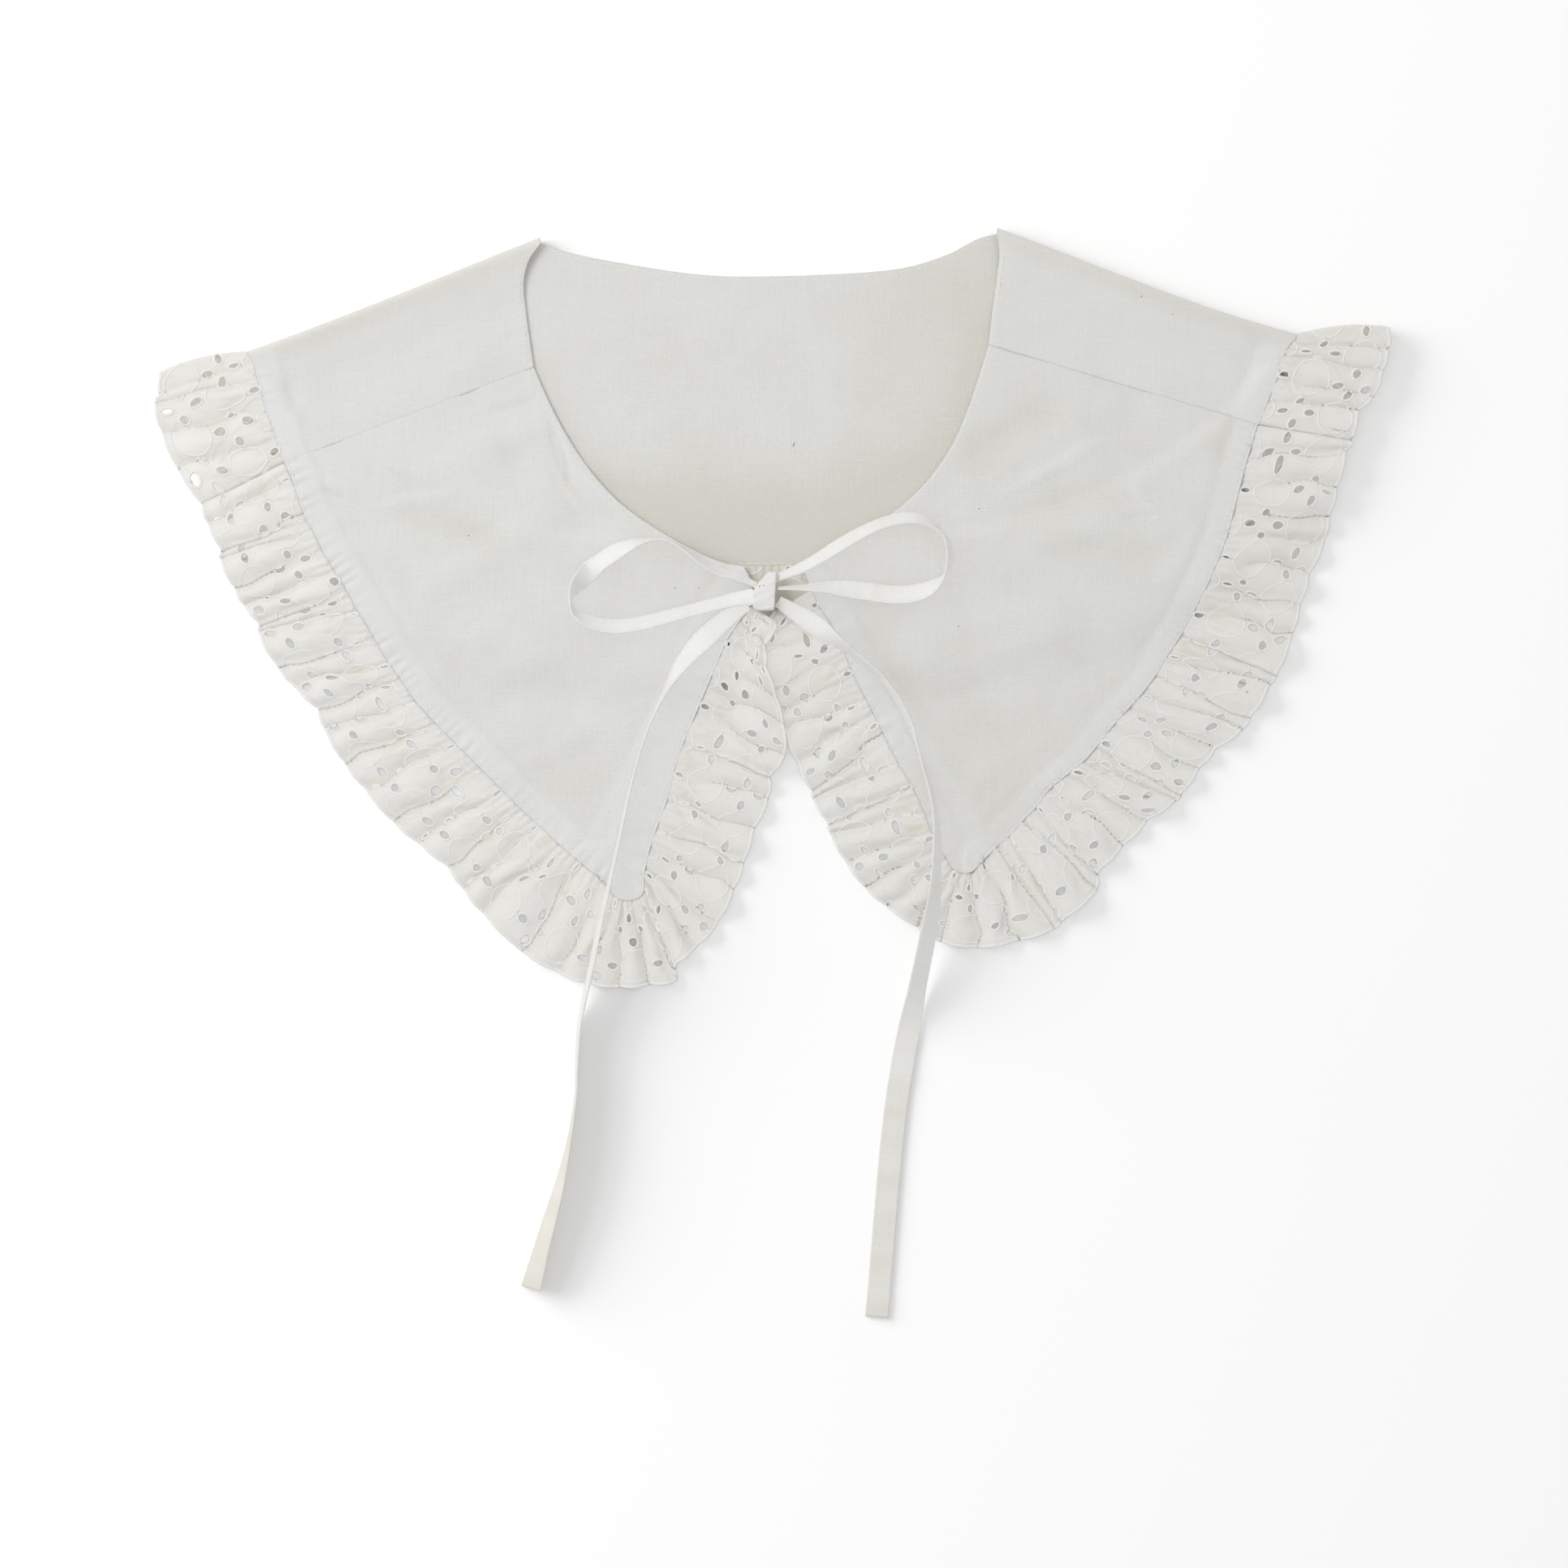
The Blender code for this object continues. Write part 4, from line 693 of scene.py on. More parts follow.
def soft_lamp(lamp, pieces, blockers=None):
    """Oval lamp that shines at the origin, on those pieces alone, and is shaded by the blockers alone."""
    data = bpy.data.lights.new(lamp.name, "AREA")
    data.shape = "ELLIPSE"
    data.size, data.size_y = lamp.size
    data.energy = lamp.power
    data.color = LAMP_COLOUR
    made = show(lamp.name, data)
    made.location = lamp.place
    made.rotation_euler = Vector(lamp.place).to_track_quat("Z", "Y").to_euler()
    made.light_linking.receiver_collection = group(lamp.name + "_lit", pieces)
    if blockers is not None:
        made.light_linking.blocker_collection = group(lamp.name + "_blockers", blockers)


def studio():
    pieces = [piece for piece in bpy.context.scene.objects if piece.type == "MESH"]
    stage = floor()
    closed = [piece for piece in pieces if not piece.name.startswith("ruffle_")]
    broad = [piece for piece in closed if not piece.name.startswith(("loop_", "tail_"))]
    soft_lamp(KEY, pieces, broad)
    soft_lamp(WINDOW, [stage], closed)
    soft_lamp(LOW_WINDOW, [stage])
    world = bpy.data.worlds.new("studio")
    world.use_nodes = True
    fill(world.node_tree, world.node_tree.nodes["Background"], {0: AMBIENT_COLOUR, 1: AMBIENT})
    bpy.context.scene.world = world
    bpy.context.scene.view_settings.view_transform = "Standard"


def floor():
    made, tree, shader = new_material("floor")
    speckle = node(tree, "ShaderNodeTexNoise", {"Scale": 3.0, "Detail": 2.0}).outputs[0]
    fill(tree, shader, {"Base Color": mixed(tree, speckle, *FLOOR_COLOURS), "Roughness": 0.9,
                        "Specular IOR Level": 0.0})
    mesh = bpy.data.meshes.new("floor")
    corners = [(x * FLOOR_HALF, y * FLOOR_HALF, 0.0) for x, y in ((-1, -1), (1, -1), (1, 1), (-1, 1))]
    mesh.from_pydata(corners, [], [(0, 1, 2, 3)])
    mesh.materials.append(made)
    sheet = show("floor", mesh)
    return sheet


# ---- ties

# Half of a tie's section, from one edge over the top to the other: (width, thickness) shares
TIE_SECTION = ((1.0, 0.0), (0.965, 0.75), (0.88, 0.92), (0.77, 0.76), (0.66, 0.86), (0.35, 0.9),
               (0.0, 0.93), (-0.35, 0.9), (-0.66, 0.86), (-0.77, 0.76), (-0.88, 0.92), (-0.965, 0.75))


class Ribbon:
    """A tie's band along its stations."""

    def __init__(self, stations, per_span=14):
        dense = smooth(stations, per_span)
        low, tilt, width = np.maximum(dense[:, 2], 0.0), np.radians(dense[:, 3]), dense[:, 4]
        before, after = np.vstack((dense[:1], dense[:-1])), np.vstack((dense[1:], dense[-1:]))
        way = unit(after[:, :2] - before[:, :2])
        side = np.column_stack((-way[:, 1], way[:, 0], np.zeros(len(way))))
        self.wide = side * np.cos(tilt)[:, None] + UP * np.sin(tilt)[:, None]
        self.thick = np.cross(np.column_stack((way, np.zeros(len(way)))), self.wide)
        high = np.abs(self.wide[:, 2]) * width / 2 + np.abs(self.thick[:, 2]) * TIE_THICKNESS / 2
        self.middle = np.column_stack((dense[:, :2], low + high))
        self.width = width
        runs = np.linalg.norm(np.diff(self.middle, axis=0), axis=1)
        self.run = np.concatenate(([0.0], np.cumsum(runs)))
        self.length = self.run[-1]

    def mesh(self, name, cloth, hem=0.0, far_shade=0.0):
        pull = 1.0 + 0.012 * np.cos(2.0 * np.pi * self.run / STITCH_PITCH)
        plump = np.where(self.run > self.length - hem, 1.0, 0.82)
        plump = np.where(np.abs(self.run - self.length + hem) < 0.8, 0.62, plump) if hem else plump
        section = np.array(TIE_SECTION + tuple((-w, -t) for w, t in TIE_SECTION))
        w = section[:, 0] * (self.width * pull / 2)[:, None]
        t = section[:, 1] * (plump * TIE_THICKNESS / 2)[:, None]
        rings = self.middle[:, None] + self.wide[:, None] * w[..., None] + self.thick[:, None] * t[..., None]
        rows, sides = rings.shape[:2]
        around = np.concatenate(([0.0], np.cumsum(np.abs(np.diff(w[0])) + np.abs(np.diff(t[0])))))
        uv = np.stack(np.broadcast_arrays(self.run[:, None], around[None]), axis=-1).reshape(-1, 2) / CM
        bands = clouds(np.column_stack((self.run, np.zeros(rows))), 6.0, 21.0) * 0.35
        # Painted shade: a tail darkens past 150 mm along it, towards its far end, as the light falls off;
        # the bands are uneven tone along the tape.
        tint = np.maximum(far_shade * ease((self.run - 150.0) / 50.0) + bands, 0.0)
        faces = ring_faces(rows, sides)
        return add_mesh(name, rings.reshape(-1, 3), faces, cloth, uv, np.repeat(tint, sides))

    def stitches(self):
        """Topstitching along both edges, on both faces."""
        runs = np.arange(1.0, self.length - 2.5, STITCH_PITCH)
        parts = []
        for edge in (0.77, -0.77):
            for face in (1.0, -1.0):
                ends = []
                for run in (runs, runs + STITCH_LENGTH):
                    read = [np.interp(run, self.run, v) for v in
                            (*self.middle.T, *self.wide.T, *self.thick.T, self.width)]
                    middle, wide, thick = (np.stack(read[k:k + 3], axis=-1) for k in (0, 3, 6))
                    ends.append(middle + wide * (edge * read[9] / 2)[:, None]
                                + thick * (face * TIE_THICKNESS / 2 * 0.5))
                parts.append(capsules(ends[0], ends[1], unit(thick) * face, STITCH_RADIUS))
        return parts


# Where the left loop's two ends go on into the knot
INTO_KNOT_ABOVE = Band(-5.85, 7.25, 5.0, 46.0, 2.6)
INTO_KNOT_BELOW = Band(-6.4, 3.65, 7.7, -10.0, 5.2)


def ties(tape, thread):
    # The last number of each tail is the strength of its painted shade towards the far end.
    for name, stations, hem, far_shade in (("tail_left", TAIL_LEFT, 9.0, 0.7),
                                      ("tail_right", TAIL_RIGHT, 10.0, 0.4)):
        ribbon = Ribbon(stations)
        piece = settle(ribbon.mesh(name, tape, hem, far_shade), "tie_cotton", "tie_" + name)
        sewing = settle(joined(name + "_stitches", ribbon.stitches(), thread), "tie_cotton")
        path = to_row(ribbon.middle)
    left = (INTO_KNOT_ABOVE,) + LOOP_LEFT + (INTO_KNOT_BELOW,)
    for name, stations in (("loop_left", left), ("loop_right", LOOP_RIGHT)):
        ribbon = Ribbon(stations)
        settle(ribbon.mesh(name, tape), "tie_cotton", "bow_" + name)
        settle(joined(name + "_stitches", ribbon.stitches(), thread), "tie_cotton")


# The knot across the collar: (share of its width, share of its height), round from its left edge
KNOT_SECTION = ((0.0, 0.55), (0.02, 0.8), (0.08, 0.88), (0.25, 0.92), (0.5, 0.97), (0.75, 1.0),
                (0.92, 0.99), (0.98, 0.95), (1.0, 0.86), (1.0, 0.5), (0.99, 0.1), (0.93, 0.0),
                (0.5, 0.0), (0.06, 0.02), (0.0, 0.2))


def knot(tape):
    """The band wrapped round the bow's middle: a smooth sheet that turns down at its right edge."""
    rings = smooth([tuple(ring) for ring in KNOT], 6)
    section = smooth(KNOT_SECTION + KNOT_SECTION[:1], 5)[:-1]
    across, up = section[:, 0], section[:, 1]
    x = lerp(rings[:, 1:2], rings[:, 2:3], across)
    y = np.broadcast_to(rings[:, :1], x.shape)
    top = ease((up - 0.6) / 0.3)
    pull = 0.1 * np.sin((y - 0.55 * x) * 1.7) + 0.07 * np.sin((y - 0.3 * x) * 3.1 + 1.0)
    z = lerp(rings[:, 3:4], rings[:, 4:5] - 0.15, up) + pull * top
    points = np.stack((x, y, z), axis=-1)
    rows, count = x.shape
    uv = np.stack((y, x * 0.5 + z), axis=-1).reshape(-1, 2) / CM
    faces = ring_faces(rows, count)
    piece = add_mesh("knot", points.reshape(-1, 3), faces, tape, uv, np.zeros(rows * count))
    settle(piece, "tie_cotton", "bow_knot")


# ---- panels

def warped(count, ends):
    """Shares from 0 to 1 that lie closer together at both ends."""
    t = steps(count)
    return t - ends * np.sin(2.0 * np.pi * t)


def panel_uv(points):
    return points.reshape(-1, 2) / CM


def back_rows():
    """Grid and painted shade of the back, from its left shoulder seam over both folds to the right one."""
    columns = warped(72, 0.1)

    def row(neck, seam, fold_out_sag, from_fold):
        sag = fold_out_sag * (1.0 - ease(from_fold))[:, None]
        skewed = (columns ** SAG_SKEW)[None, :, None]
        points = lerp(neck[:, None], seam[:, None], columns[None, :, None])
        return points - sag[:, None] * 4.0 * skewed * (1.0 - skewed)

    def over(neck_points, creases, fold, strokes):
        neck = Line(neck_points)
        seam = Line([fold.seam] + [(c.seam_x, c.seam_y) for c in creases])
        shares = steps(56)
        plane = row(neck.at(shares), seam.at(shares), fold.out * fold.sag, shares * 2.0)
        height = rest(plane) + CLOTH / 2
        settled = ease(fold_distance(plane) / 9.0)
        away, along = nearest(plane, seam.points)
        height = height + settled * (crumple(plane, 5.0) * 0.6 + stroke_height(plane, strokes)
                                     + seam_form(away, along, 8.5, 3.7, 0.18))
        height = height + edge_form(nearest(plane, neck.points)[0]) * settled
        plane, groove = closed_joint(plane, plane[-1, (0, -1)], 1.0)
        height = height - groove
        # Painted shade below each shoulder fold, stronger towards the seam; lighter over the seam allowance
        # band.
        tint = 0.5 * (1.0 - ease((fold_distance(plane) - 1.0) / 7.0)) * lerp(0.6, 1.0, columns)[None]
        tint = tint - 0.25 * (1.0 - ease((away - 6.5) / 2.5))
        turns = []
        for turn in FOLD_TURNS:
            points = row(fold.neck[None], fold.seam[None], fold.out * fold.sag, np.zeros(1))[0]
            points = points + fold.out * np.sin(turn) * FOLD_RADIUS
            rise = np.full(len(points), CLOTH / 2 + FOLD_RADIUS * (1.0 - np.cos(turn)))
            turns.append(np.column_stack((points, rise)))
        top = np.concatenate((plane, height[..., None]), axis=-1)[::-1]
        # Painted shade on the fold's turn.
        tint = np.concatenate((tint[::-1], np.full((len(FOLD_TURNS), len(columns)), 0.4)))
        return np.concatenate((top, turns)), tint

    left, shade_left = over(OVER_NECK_LEFT, RUFFLE_BACK_LEFT, FOLD_LEFT, STROKES_LEFT)
    right, shade_right = over(OVER_NECK_RIGHT, RUFFLE_BACK_RIGHT, FOLD_RIGHT, STROKES_RIGHT)
    shares = steps(200)
    sag = np.where((shares < 0.5)[:, None], FOLD_LEFT.out * FOLD_LEFT.sag, FOLD_RIGHT.out * FOLD_RIGHT.sag)
    neck, seam = NECK_LINE.at(shares), SEAM_LINE.at(shares)
    from_fold = np.minimum(shares, 1.0 - shares) * 5.0
    skewed = (columns ** SAG_SKEW)[None, :, None]
    plane = lerp(neck[:, None], seam[:, None], columns[None, :, None])
    plane = plane - (sag * (1.0 - ease(from_fold))[:, None])[:, None] * 4.0 * skewed * (1.0 - skewed)
    height = np.full(plane.shape[:2], CLOTH / 2) + back_relief(plane)
    under = np.concatenate((plane, height[..., None]), axis=-1)
    grid = np.concatenate((left, under, right[::-1]))
    return grid, np.concatenate((shade_left, inside_painted_shade(plane), shade_right[::-1]))


def inside_painted_shade(plane):
    """Painted shade on the back's inside: darker next to the fronts that lie on it, as their shadow, and
    darker low and to the right, as the light falls off there; with soft clouds of uneven tone.
    """
    left = nearest(plane, smooth(FRONT_NECK_LEFT, 4))[0]
    right = nearest(plane, smooth(FRONT_NECK_RIGHT, 4))[0]
    low = ease((62.0 - plane[..., 1]) / 45.0)
    cloudy = clouds(plane, 30.0, 11.0) * 0.12
    return (0.08 + cloudy + 0.3 * (1.0 - ease(left / 9.0)) + 0.35 * (1.0 - ease(right / 16.0))
            + 1.2 * low + 0.4 * ease((plane[..., 0] - 10.0) / 50.0))


def back_relief(plane):
    """Creases of the back where it lies on the surface, which never sink below it."""
    settled = ease(fold_distance(plane) / 12.0)
    relief = crumple(plane, 9.0) * 0.5 + stroke_height(plane, STROKES_BACK)
    away = nearest(plane, NECK_LINE.points)[0]
    seam_away = nearest(plane, SEAM_LINE.points)[0]
    relief = relief + edge_form(away) - 0.16 * bell((seam_away - SEAM_STITCH) / 0.3)
    relief = settled * relief
    return np.where(relief < 0.0, 0.25 * np.tanh(relief / 0.25) * 0.4, np.minimum(relief, 0.45))


def back_panel(cloth):
    grid, tint = back_rows()
    rows, columns = grid.shape[:2]
    piece = add_mesh("back_panel_cloth", grid.reshape(-1, 3), grid_faces(rows, columns), cloth,
                     panel_uv(grid[..., :2]), tint.ravel(), LOWEST)
    return settle(thicken(piece, SHELL), "cotton", "back_panel")


def seam_of(creases, offset):
    return Line([(c.seam_x, c.seam_y) for c in creases]).moved(offset)


def part_of(points, first, last, per_span=8):
    return Line(points[first * per_span:last * per_span + 1], 1)


def closed_joint(plane, joint, side):
    """Points by a shoulder seam moved across the gap that the solids have there, and its groove."""
    away = nearest(plane, joint)[0]
    way = unit(joint[1] - joint[0])
    across = np.array((-way[1], way[0]))
    across = across * np.sign(across[1]) * -side
    closed = plane + across * (0.6 * GAP) * (1.0 - ease(away / 2.0))[..., None]
    return closed, 0.02 * (1.0 - ease(away / 0.6))


# Spans of a front's inner boundary: neck edge, corner, and the rest its front seam
INNER_SPANS = 22.0
NECK_SPANS = 10.0
CORNER_SPANS = 2.0
# Width of the band along the outer and the front seam, pitch of its puckers, and their strength
BANDS_LEFT = ((8.5, 3.7, 0.32), (13.0, 7.6, 0.36))
BANDS_RIGHT = ((6.4, 2.4, 0.24), (7.5, 5.0, 0.26))


class Front:
    """A front: its boundary lines, its height and its mesh."""

    def __init__(self, neck, corner, seams, ridges, strokes, bands, seed, shade):
        self.neck, self.corner = Line(neck), Line(corner)
        self.outer, self.blunt, self.front = seams
        self.ridges, self.strokes, self.bands, self.seed = ridges, strokes, bands, seed
        self.shade = shade
        self.joint = np.array((self.neck.points[0], self.outer.points[0]))

    def inner(self, t):
        """The inner boundary: neck edge, corner, and front seam."""
        place = np.asarray(t) * INNER_SPANS
        turned = NECK_SPANS + CORNER_SPANS
        on_neck = self.neck.at(place / NECK_SPANS)
        on_corner = self.corner.at((place - NECK_SPANS) / CORNER_SPANS)
        on_front = self.front.at((place - turned) / (INNER_SPANS - turned))
        return np.where((place < NECK_SPANS)[..., None], on_neck,
                        np.where((place < turned)[..., None], on_corner, on_front))

    def height(self, plane):
        """Middle of the cloth at plane points."""
        outer_band, front_band = self.bands
        height = rest(plane) + CLOTH / 2 + ridge_height(plane, self.ridges) * RIDGE_SHARE
        height = height + stroke_height(plane, self.strokes) + crumple(plane, self.seed)
        neck = nearest(plane, np.vstack((self.neck.points, self.corner.points)))[0]
        height = height + edge_form(neck)
        away, along = nearest(plane, self.outer.points)
        height = height + seam_form(away, along, *outer_band)
        away, along = nearest(plane, np.vstack((self.blunt.points, self.front.points[::-1])))
        height = height + seam_form(away, along, *front_band)
        return np.maximum(height, LOWEST)

    def tint(self, plane):
        # Painted shade: darker low on the front, more so on the right front, and in the creases' troughs;
        # painted light on their ridges; lighter over the seam allowance bands; soft clouds of uneven tone.
        away = nearest(plane, self.outer.points)[0]
        front = nearest(plane, np.vstack((self.blunt.points, self.front.points)))[0]
        bright = np.maximum(1.0 - ease((away - self.bands[0][0] + 2.0) / 2.5),
                            1.0 - ease((front - self.bands[1][0] + 2.0) / 2.5))
        low = ease((-20.0 - plane[..., 1]) / 50.0)
        creased = np.clip(-0.5 * stroke_height(plane, self.strokes), -0.1, 0.35)
        cloudy = 0.12 * clouds(plane, 14.0, self.seed + 7.0)
        return self.shade[0] + self.shade[1] * low + creased + cloudy - 0.25 * bright

    def mesh(self, name, cloth):
        t = steps(264)
        columns = warped(84, 0.11)
        inner, outer = self.inner(t), self.outer.at(t)
        plane = lerp(inner[:, None], outer[:, None], columns[None, :, None])
        chord = lerp(inner[-1], outer[-1], columns[:, None])
        blend = ease((t - 20.0 / INNER_SPANS) * INNER_SPANS / 2.0)[:, None, None]
        plane = plane + (self.blunt.at(columns) - chord)[None] * blend
        height = self.height(plane)
        plane, groove = closed_joint(plane, self.joint, -1.0)
        grid = np.concatenate((plane, (height - groove)[..., None]), axis=-1)
        rows, count = grid.shape[:2]
        return add_mesh(name, grid.reshape(-1, 3), grid_faces(rows, count), cloth, panel_uv(plane),
                        self.tint(plane).ravel(), LOWEST)


def fronts():
    seam = seam_of(RUFFLE_LEFT, -GAP)
    first, last = TIP_LEFT
    outer = part_of(seam, 0, first)
    blunt = Line(part_of(seam, first, last).points[::-1], 1)
    front = Line(part_of(seam, last, len(RUFFLE_LEFT) - 1).points[::-1], 1)
    left = Front(FRONT_NECK_LEFT, CORNER_LEFT, (outer, blunt, front), RIDGES_LEFT, STROKES_LEFT,
                 BANDS_LEFT, 1.0, (0.0, 0.12))
    seam = seam_of(RUFFLE_RIGHT, -GAP)
    first, last = TIP_RIGHT
    outer = Line(part_of(seam, last, len(RUFFLE_RIGHT) - 1).points[::-1], 1)
    right = Front(FRONT_NECK_RIGHT, CORNER_RIGHT,
                  (outer, part_of(seam, first, last), part_of(seam, 0, first)), RIDGES_RIGHT,
                  STROKES_RIGHT, BANDS_RIGHT, 3.0, (0.08, 0.25))
    return left, right


def stitch_row(line_points, height, offset, surface):
    """Stitches along a line moved by offset to its right, on a surface given by its height."""
    line = Line(line_points, 1)
    runs = np.arange(1.0, line.length - 2.5, STITCH_PITCH)
    ends = []
    for run in (runs, runs + STITCH_LENGTH):
        share = run / line.length
        plane = line.at(share) + line.side(share) * offset
        ends.append(np.column_stack((plane, height(plane) + surface)))
    return capsules(ends[0], ends[1], np.tile(UP, (len(runs), 1)), STITCH_RADIUS)


# ---- ruffle

LAP_HALF = 0.9              # an overlap's bend, to each side of its crease
LAP_COLUMNS = 7
INTERVAL_COLUMNS = 26
LACE_ROWS = 28


class Lace:
    """A gathered strip: its middle surface as a grid, read by flat coordinates."""

    def __init__(self, grid, tint):
        self.grid = grid
        self.normals = grid_normals(grid)
        self.tint = tint
        read = int(grid.shape[1] * 0.65)
        runs = np.linalg.norm(np.diff(grid[:, read], axis=0), axis=1) + 1e-4
        self.u = np.concatenate(([0.0], np.cumsum(runs)))
        self.tiles = max(1, int(round(self.u[-1] / TILE)))
        self.u *= self.tiles * TILE / self.u[-1]
        self.length = self.u[-1]

    def read(self, table, flat):
        """Value of a grid table at flat points (along, across)."""
        last = len(self.u) - 2
        k = np.clip(np.searchsorted(self.u, flat[..., 0], side="right") - 1, 0, last)
        s = np.clip((flat[..., 0] - self.u[k]) / (self.u[k + 1] - self.u[k]), 0.0, 1.0)
        rows = self.grid.shape[1] - 1
        place = np.clip(flat[..., 1] / FLAT, 0.0, 1.0) * rows
        m = np.minimum(place.astype(int), rows - 1)
        t = place - m
        if table.ndim == 3:
            s, t = s[..., None], t[..., None]
        low = lerp(table[k, m], table[k + 1, m], s)
        high = lerp(table[k, m + 1], table[k + 1, m + 1], s)
        return lerp(low, high, t)

    def place(self, flat, lift=0.0):
        normals = unit(self.read(self.normals, flat))
        places = np.array(self.read(self.grid, flat))
        places[..., 2] = np.maximum(places[..., 2], LOWEST)
        return places + normals * lift, normals


def seam_and_edge(creases):
    """Readers of a ruffle's seam and free edge by crease number, whole or part way to the next."""
    seam = smooth([(c.seam_x, c.seam_y) for c in creases], 8)
    edge = np.array([(c.edge_x, c.edge_y) for c in creases])
    numbers = np.arange(len(creases))

    def read_seam(n):
        return np.stack([np.interp(n * 8.0, np.arange(len(seam)), seam[:, k]) for k in (0, 1)], axis=-1)

    def read_edge(n):
        points = np.stack([np.interp(n, numbers, edge[:, k]) for k in (0, 1)], axis=-1)
        out = unit(points - read_seam(n))
        return points + out * SCALLOP * np.abs(np.sin(np.pi * n))[..., None]

    return read_seam, read_edge


def lap_of(before, after):
    """How far and how high the lace laps over at a crease between two arches, earlier on top if > 0."""
    strength = np.clip((abs(before - after) - 0.15) / 0.9, 0.0, 1.0)
    sign = 1.0 if before >= after else -1.0
    return sign, lerp(0.15, 1.9, strength), lerp(0.2, 0.9, strength)


def top_strip(creases, seed):
    """Grid and painted shade of a ruffle that lies on top, from its first crease to its last."""
    read_seam, read_edge = seam_and_edge(creases)
    last = len(creases) - 1
    chords = [np.hypot(b.edge_x - a.edge_x, b.edge_y - a.edge_y) for a, b in zip(creases, creases[1:])]
    laps = {i: lap_of(creases[i - 1].rise, creases[i].rise) for i in range(1, last)}
    base, shift, arch, step, dark, wander = [], [], [], [], [], []

    def column(place, over, arch_height, step_height, darkness, crease):
        base.append(place)
        shift.append(over)
        arch.append(arch_height)
        step.append(step_height)
        dark.append(darkness)
        wander.append(crease)

    for i in range(last):
        half = LAP_HALF / max(chords[i], 3.0)
        if i > 0:
            sign, over, high = laps[i]
            for tau in np.linspace(-1.0, 1.0, LAP_COLUMNS + 2)[1:-1]:
                rise = 1.0 - ease((tau + 1.0) / 2)
                rise = rise if sign > 0 else 1.0 - rise
                column(i + half * tau, -(over + LAP_HALF / 2) * np.sin(np.pi * tau), 0.0, high * rise,
                       1.0 - rise, i)
        start = half if i > 0 else 0.0
        end = 1.0 - half if i < last - 1 else 1.0
        from_high = laps[i][2] if i > 0 and laps[i][0] < 0 else 0.0
        to_high = laps[i + 1][2] if i < last - 1 and laps[i + 1][0] > 0 else 0.0
        from_low = i > 0 and laps[i][0] > 0
        to_low = i < last - 1 and laps[i + 1][0] < 0
        for t in (np.arange(INTERVAL_COLUMNS) + 0.5) / INTERVAL_COLUMNS:
            shade = max(from_low * (1.0 - t / 0.3), to_low * (1.0 - (1.0 - t) / 0.3), 0.0)
            column(i + lerp(start, end, t), 0.0, creases[i].rise * 0.72 * np.sin(np.pi * t) ** 1.1,
                   lerp(from_high, to_high, ease(t)), shade, i + t)
    base, shift, arch, step, dark, wander = map(np.array, (base, shift, arch, step, dark, wander))
    share = steps(LACE_ROWS)[None]
    chord = np.interp(base, np.arange(last) + 0.5, chords)
    number = base[:, None] + shift[:, None] / chord[:, None] * ease((share - 0.1) / 0.5)
    sway = (0.11 * np.sin(share * 5.0 + wander[:, None] * 2.1 + seed)
            + 0.05 * np.sin(share * 11.0 + wander[:, None] * 3.7 + seed))
    ends = ease(share / 0.3) * ease((1.0 - share) / 0.2)
    sway = sway * ends * np.clip(chord / 10.0 - 0.1, 0.2, 1.0)[:, None]
    number = np.clip(number + sway * ((base > 0.3) & (base < last - 0.3))[:, None], 0.0, last)
    seam, edge = read_seam(number), read_edge(number)
    out = unit(edge - seam)
    plane = lerp(seam - out * 0.3, edge, share[..., None])
    height = rest(plane) + LACE_SHELL / 2 + 0.08
    height = height + arch[:, None] * lerp(0.35, 1.0, ease(share * 1.6))
    height = height + step[:, None] * lerp(0.3, 1.0, ease(share * 1.5))
    lift = np.interp(number, np.arange(last + 1), [c.lift for c in creases])
    height = height + lift * ease((share - 0.3) / 0.5)
    height = height + gathers(read_seam, number, share, last, seed)
    run = np.interp(number, np.arange(last + 1), np.concatenate(([0.0], np.cumsum(chords))))
    threads = np.broadcast_arrays(run / 2.6, share * FLAT / 11.0)
    pulled = clouds(np.stack(threads, axis=-1), 1.0, seed + 2)
    flutter = clouds(plane, 7.0, seed) * 0.3 * ease(share) + clouds(plane, 2.4, seed + 1) * 0.07
    flutter = flutter + np.abs(pulled) * 0.45 * lerp(1.0, 0.35, ease(share / 0.9))
    grid = np.concatenate((plane, (height + flutter * ease(share / 0.2))[..., None]), axis=-1)
    uneven = np.clip(0.6 + 1.4 * clouds(plane, 12.0, seed + 3), 0.1, 1.4)
    # Painted shade on the low layer of each lap and beside it, and along thin creases where the threads
    # pull.
    thin = bell(pulled / 0.09) * uneven * lerp(1.0, 0.3, ease(share / 0.9)) * ease(share / 0.06)
    return grid, 0.5 * dark[:, None] * ease((share - 0.05) / 0.3) + thin


def gathers(read_seam, number, share, last, seed):
    """Small gathers that the seam holds, of uneven height and length."""
    rng = np.random.default_rng(int(seed * 10))
    ends = read_seam(np.arange(last + 1.0))
    lobes = np.maximum(2, np.round(np.linalg.norm(np.diff(ends, axis=0), axis=1) / GATHER_PITCH))
    phase = np.interp(number, np.arange(last + 1), np.concatenate(([0.0], np.cumsum(lobes))))
    count = int(lobes.sum()) + 1
    high = rng.uniform(0.55, 1.15, count)
    reach = rng.uniform(0.16, 0.42, count) * np.where(rng.uniform(size=count) < 0.15, 1.6, 1.0)
    lobe = np.clip(phase.astype(int), 0, count - 1)
    form = np.abs(np.sin(np.pi * phase)) ** 0.8
    grow = lerp(0.55, 1.0, ease(share / 0.08))
    return form * high[lobe] * 0.6 * grow * (1.0 - ease(share / reach[lobe]))


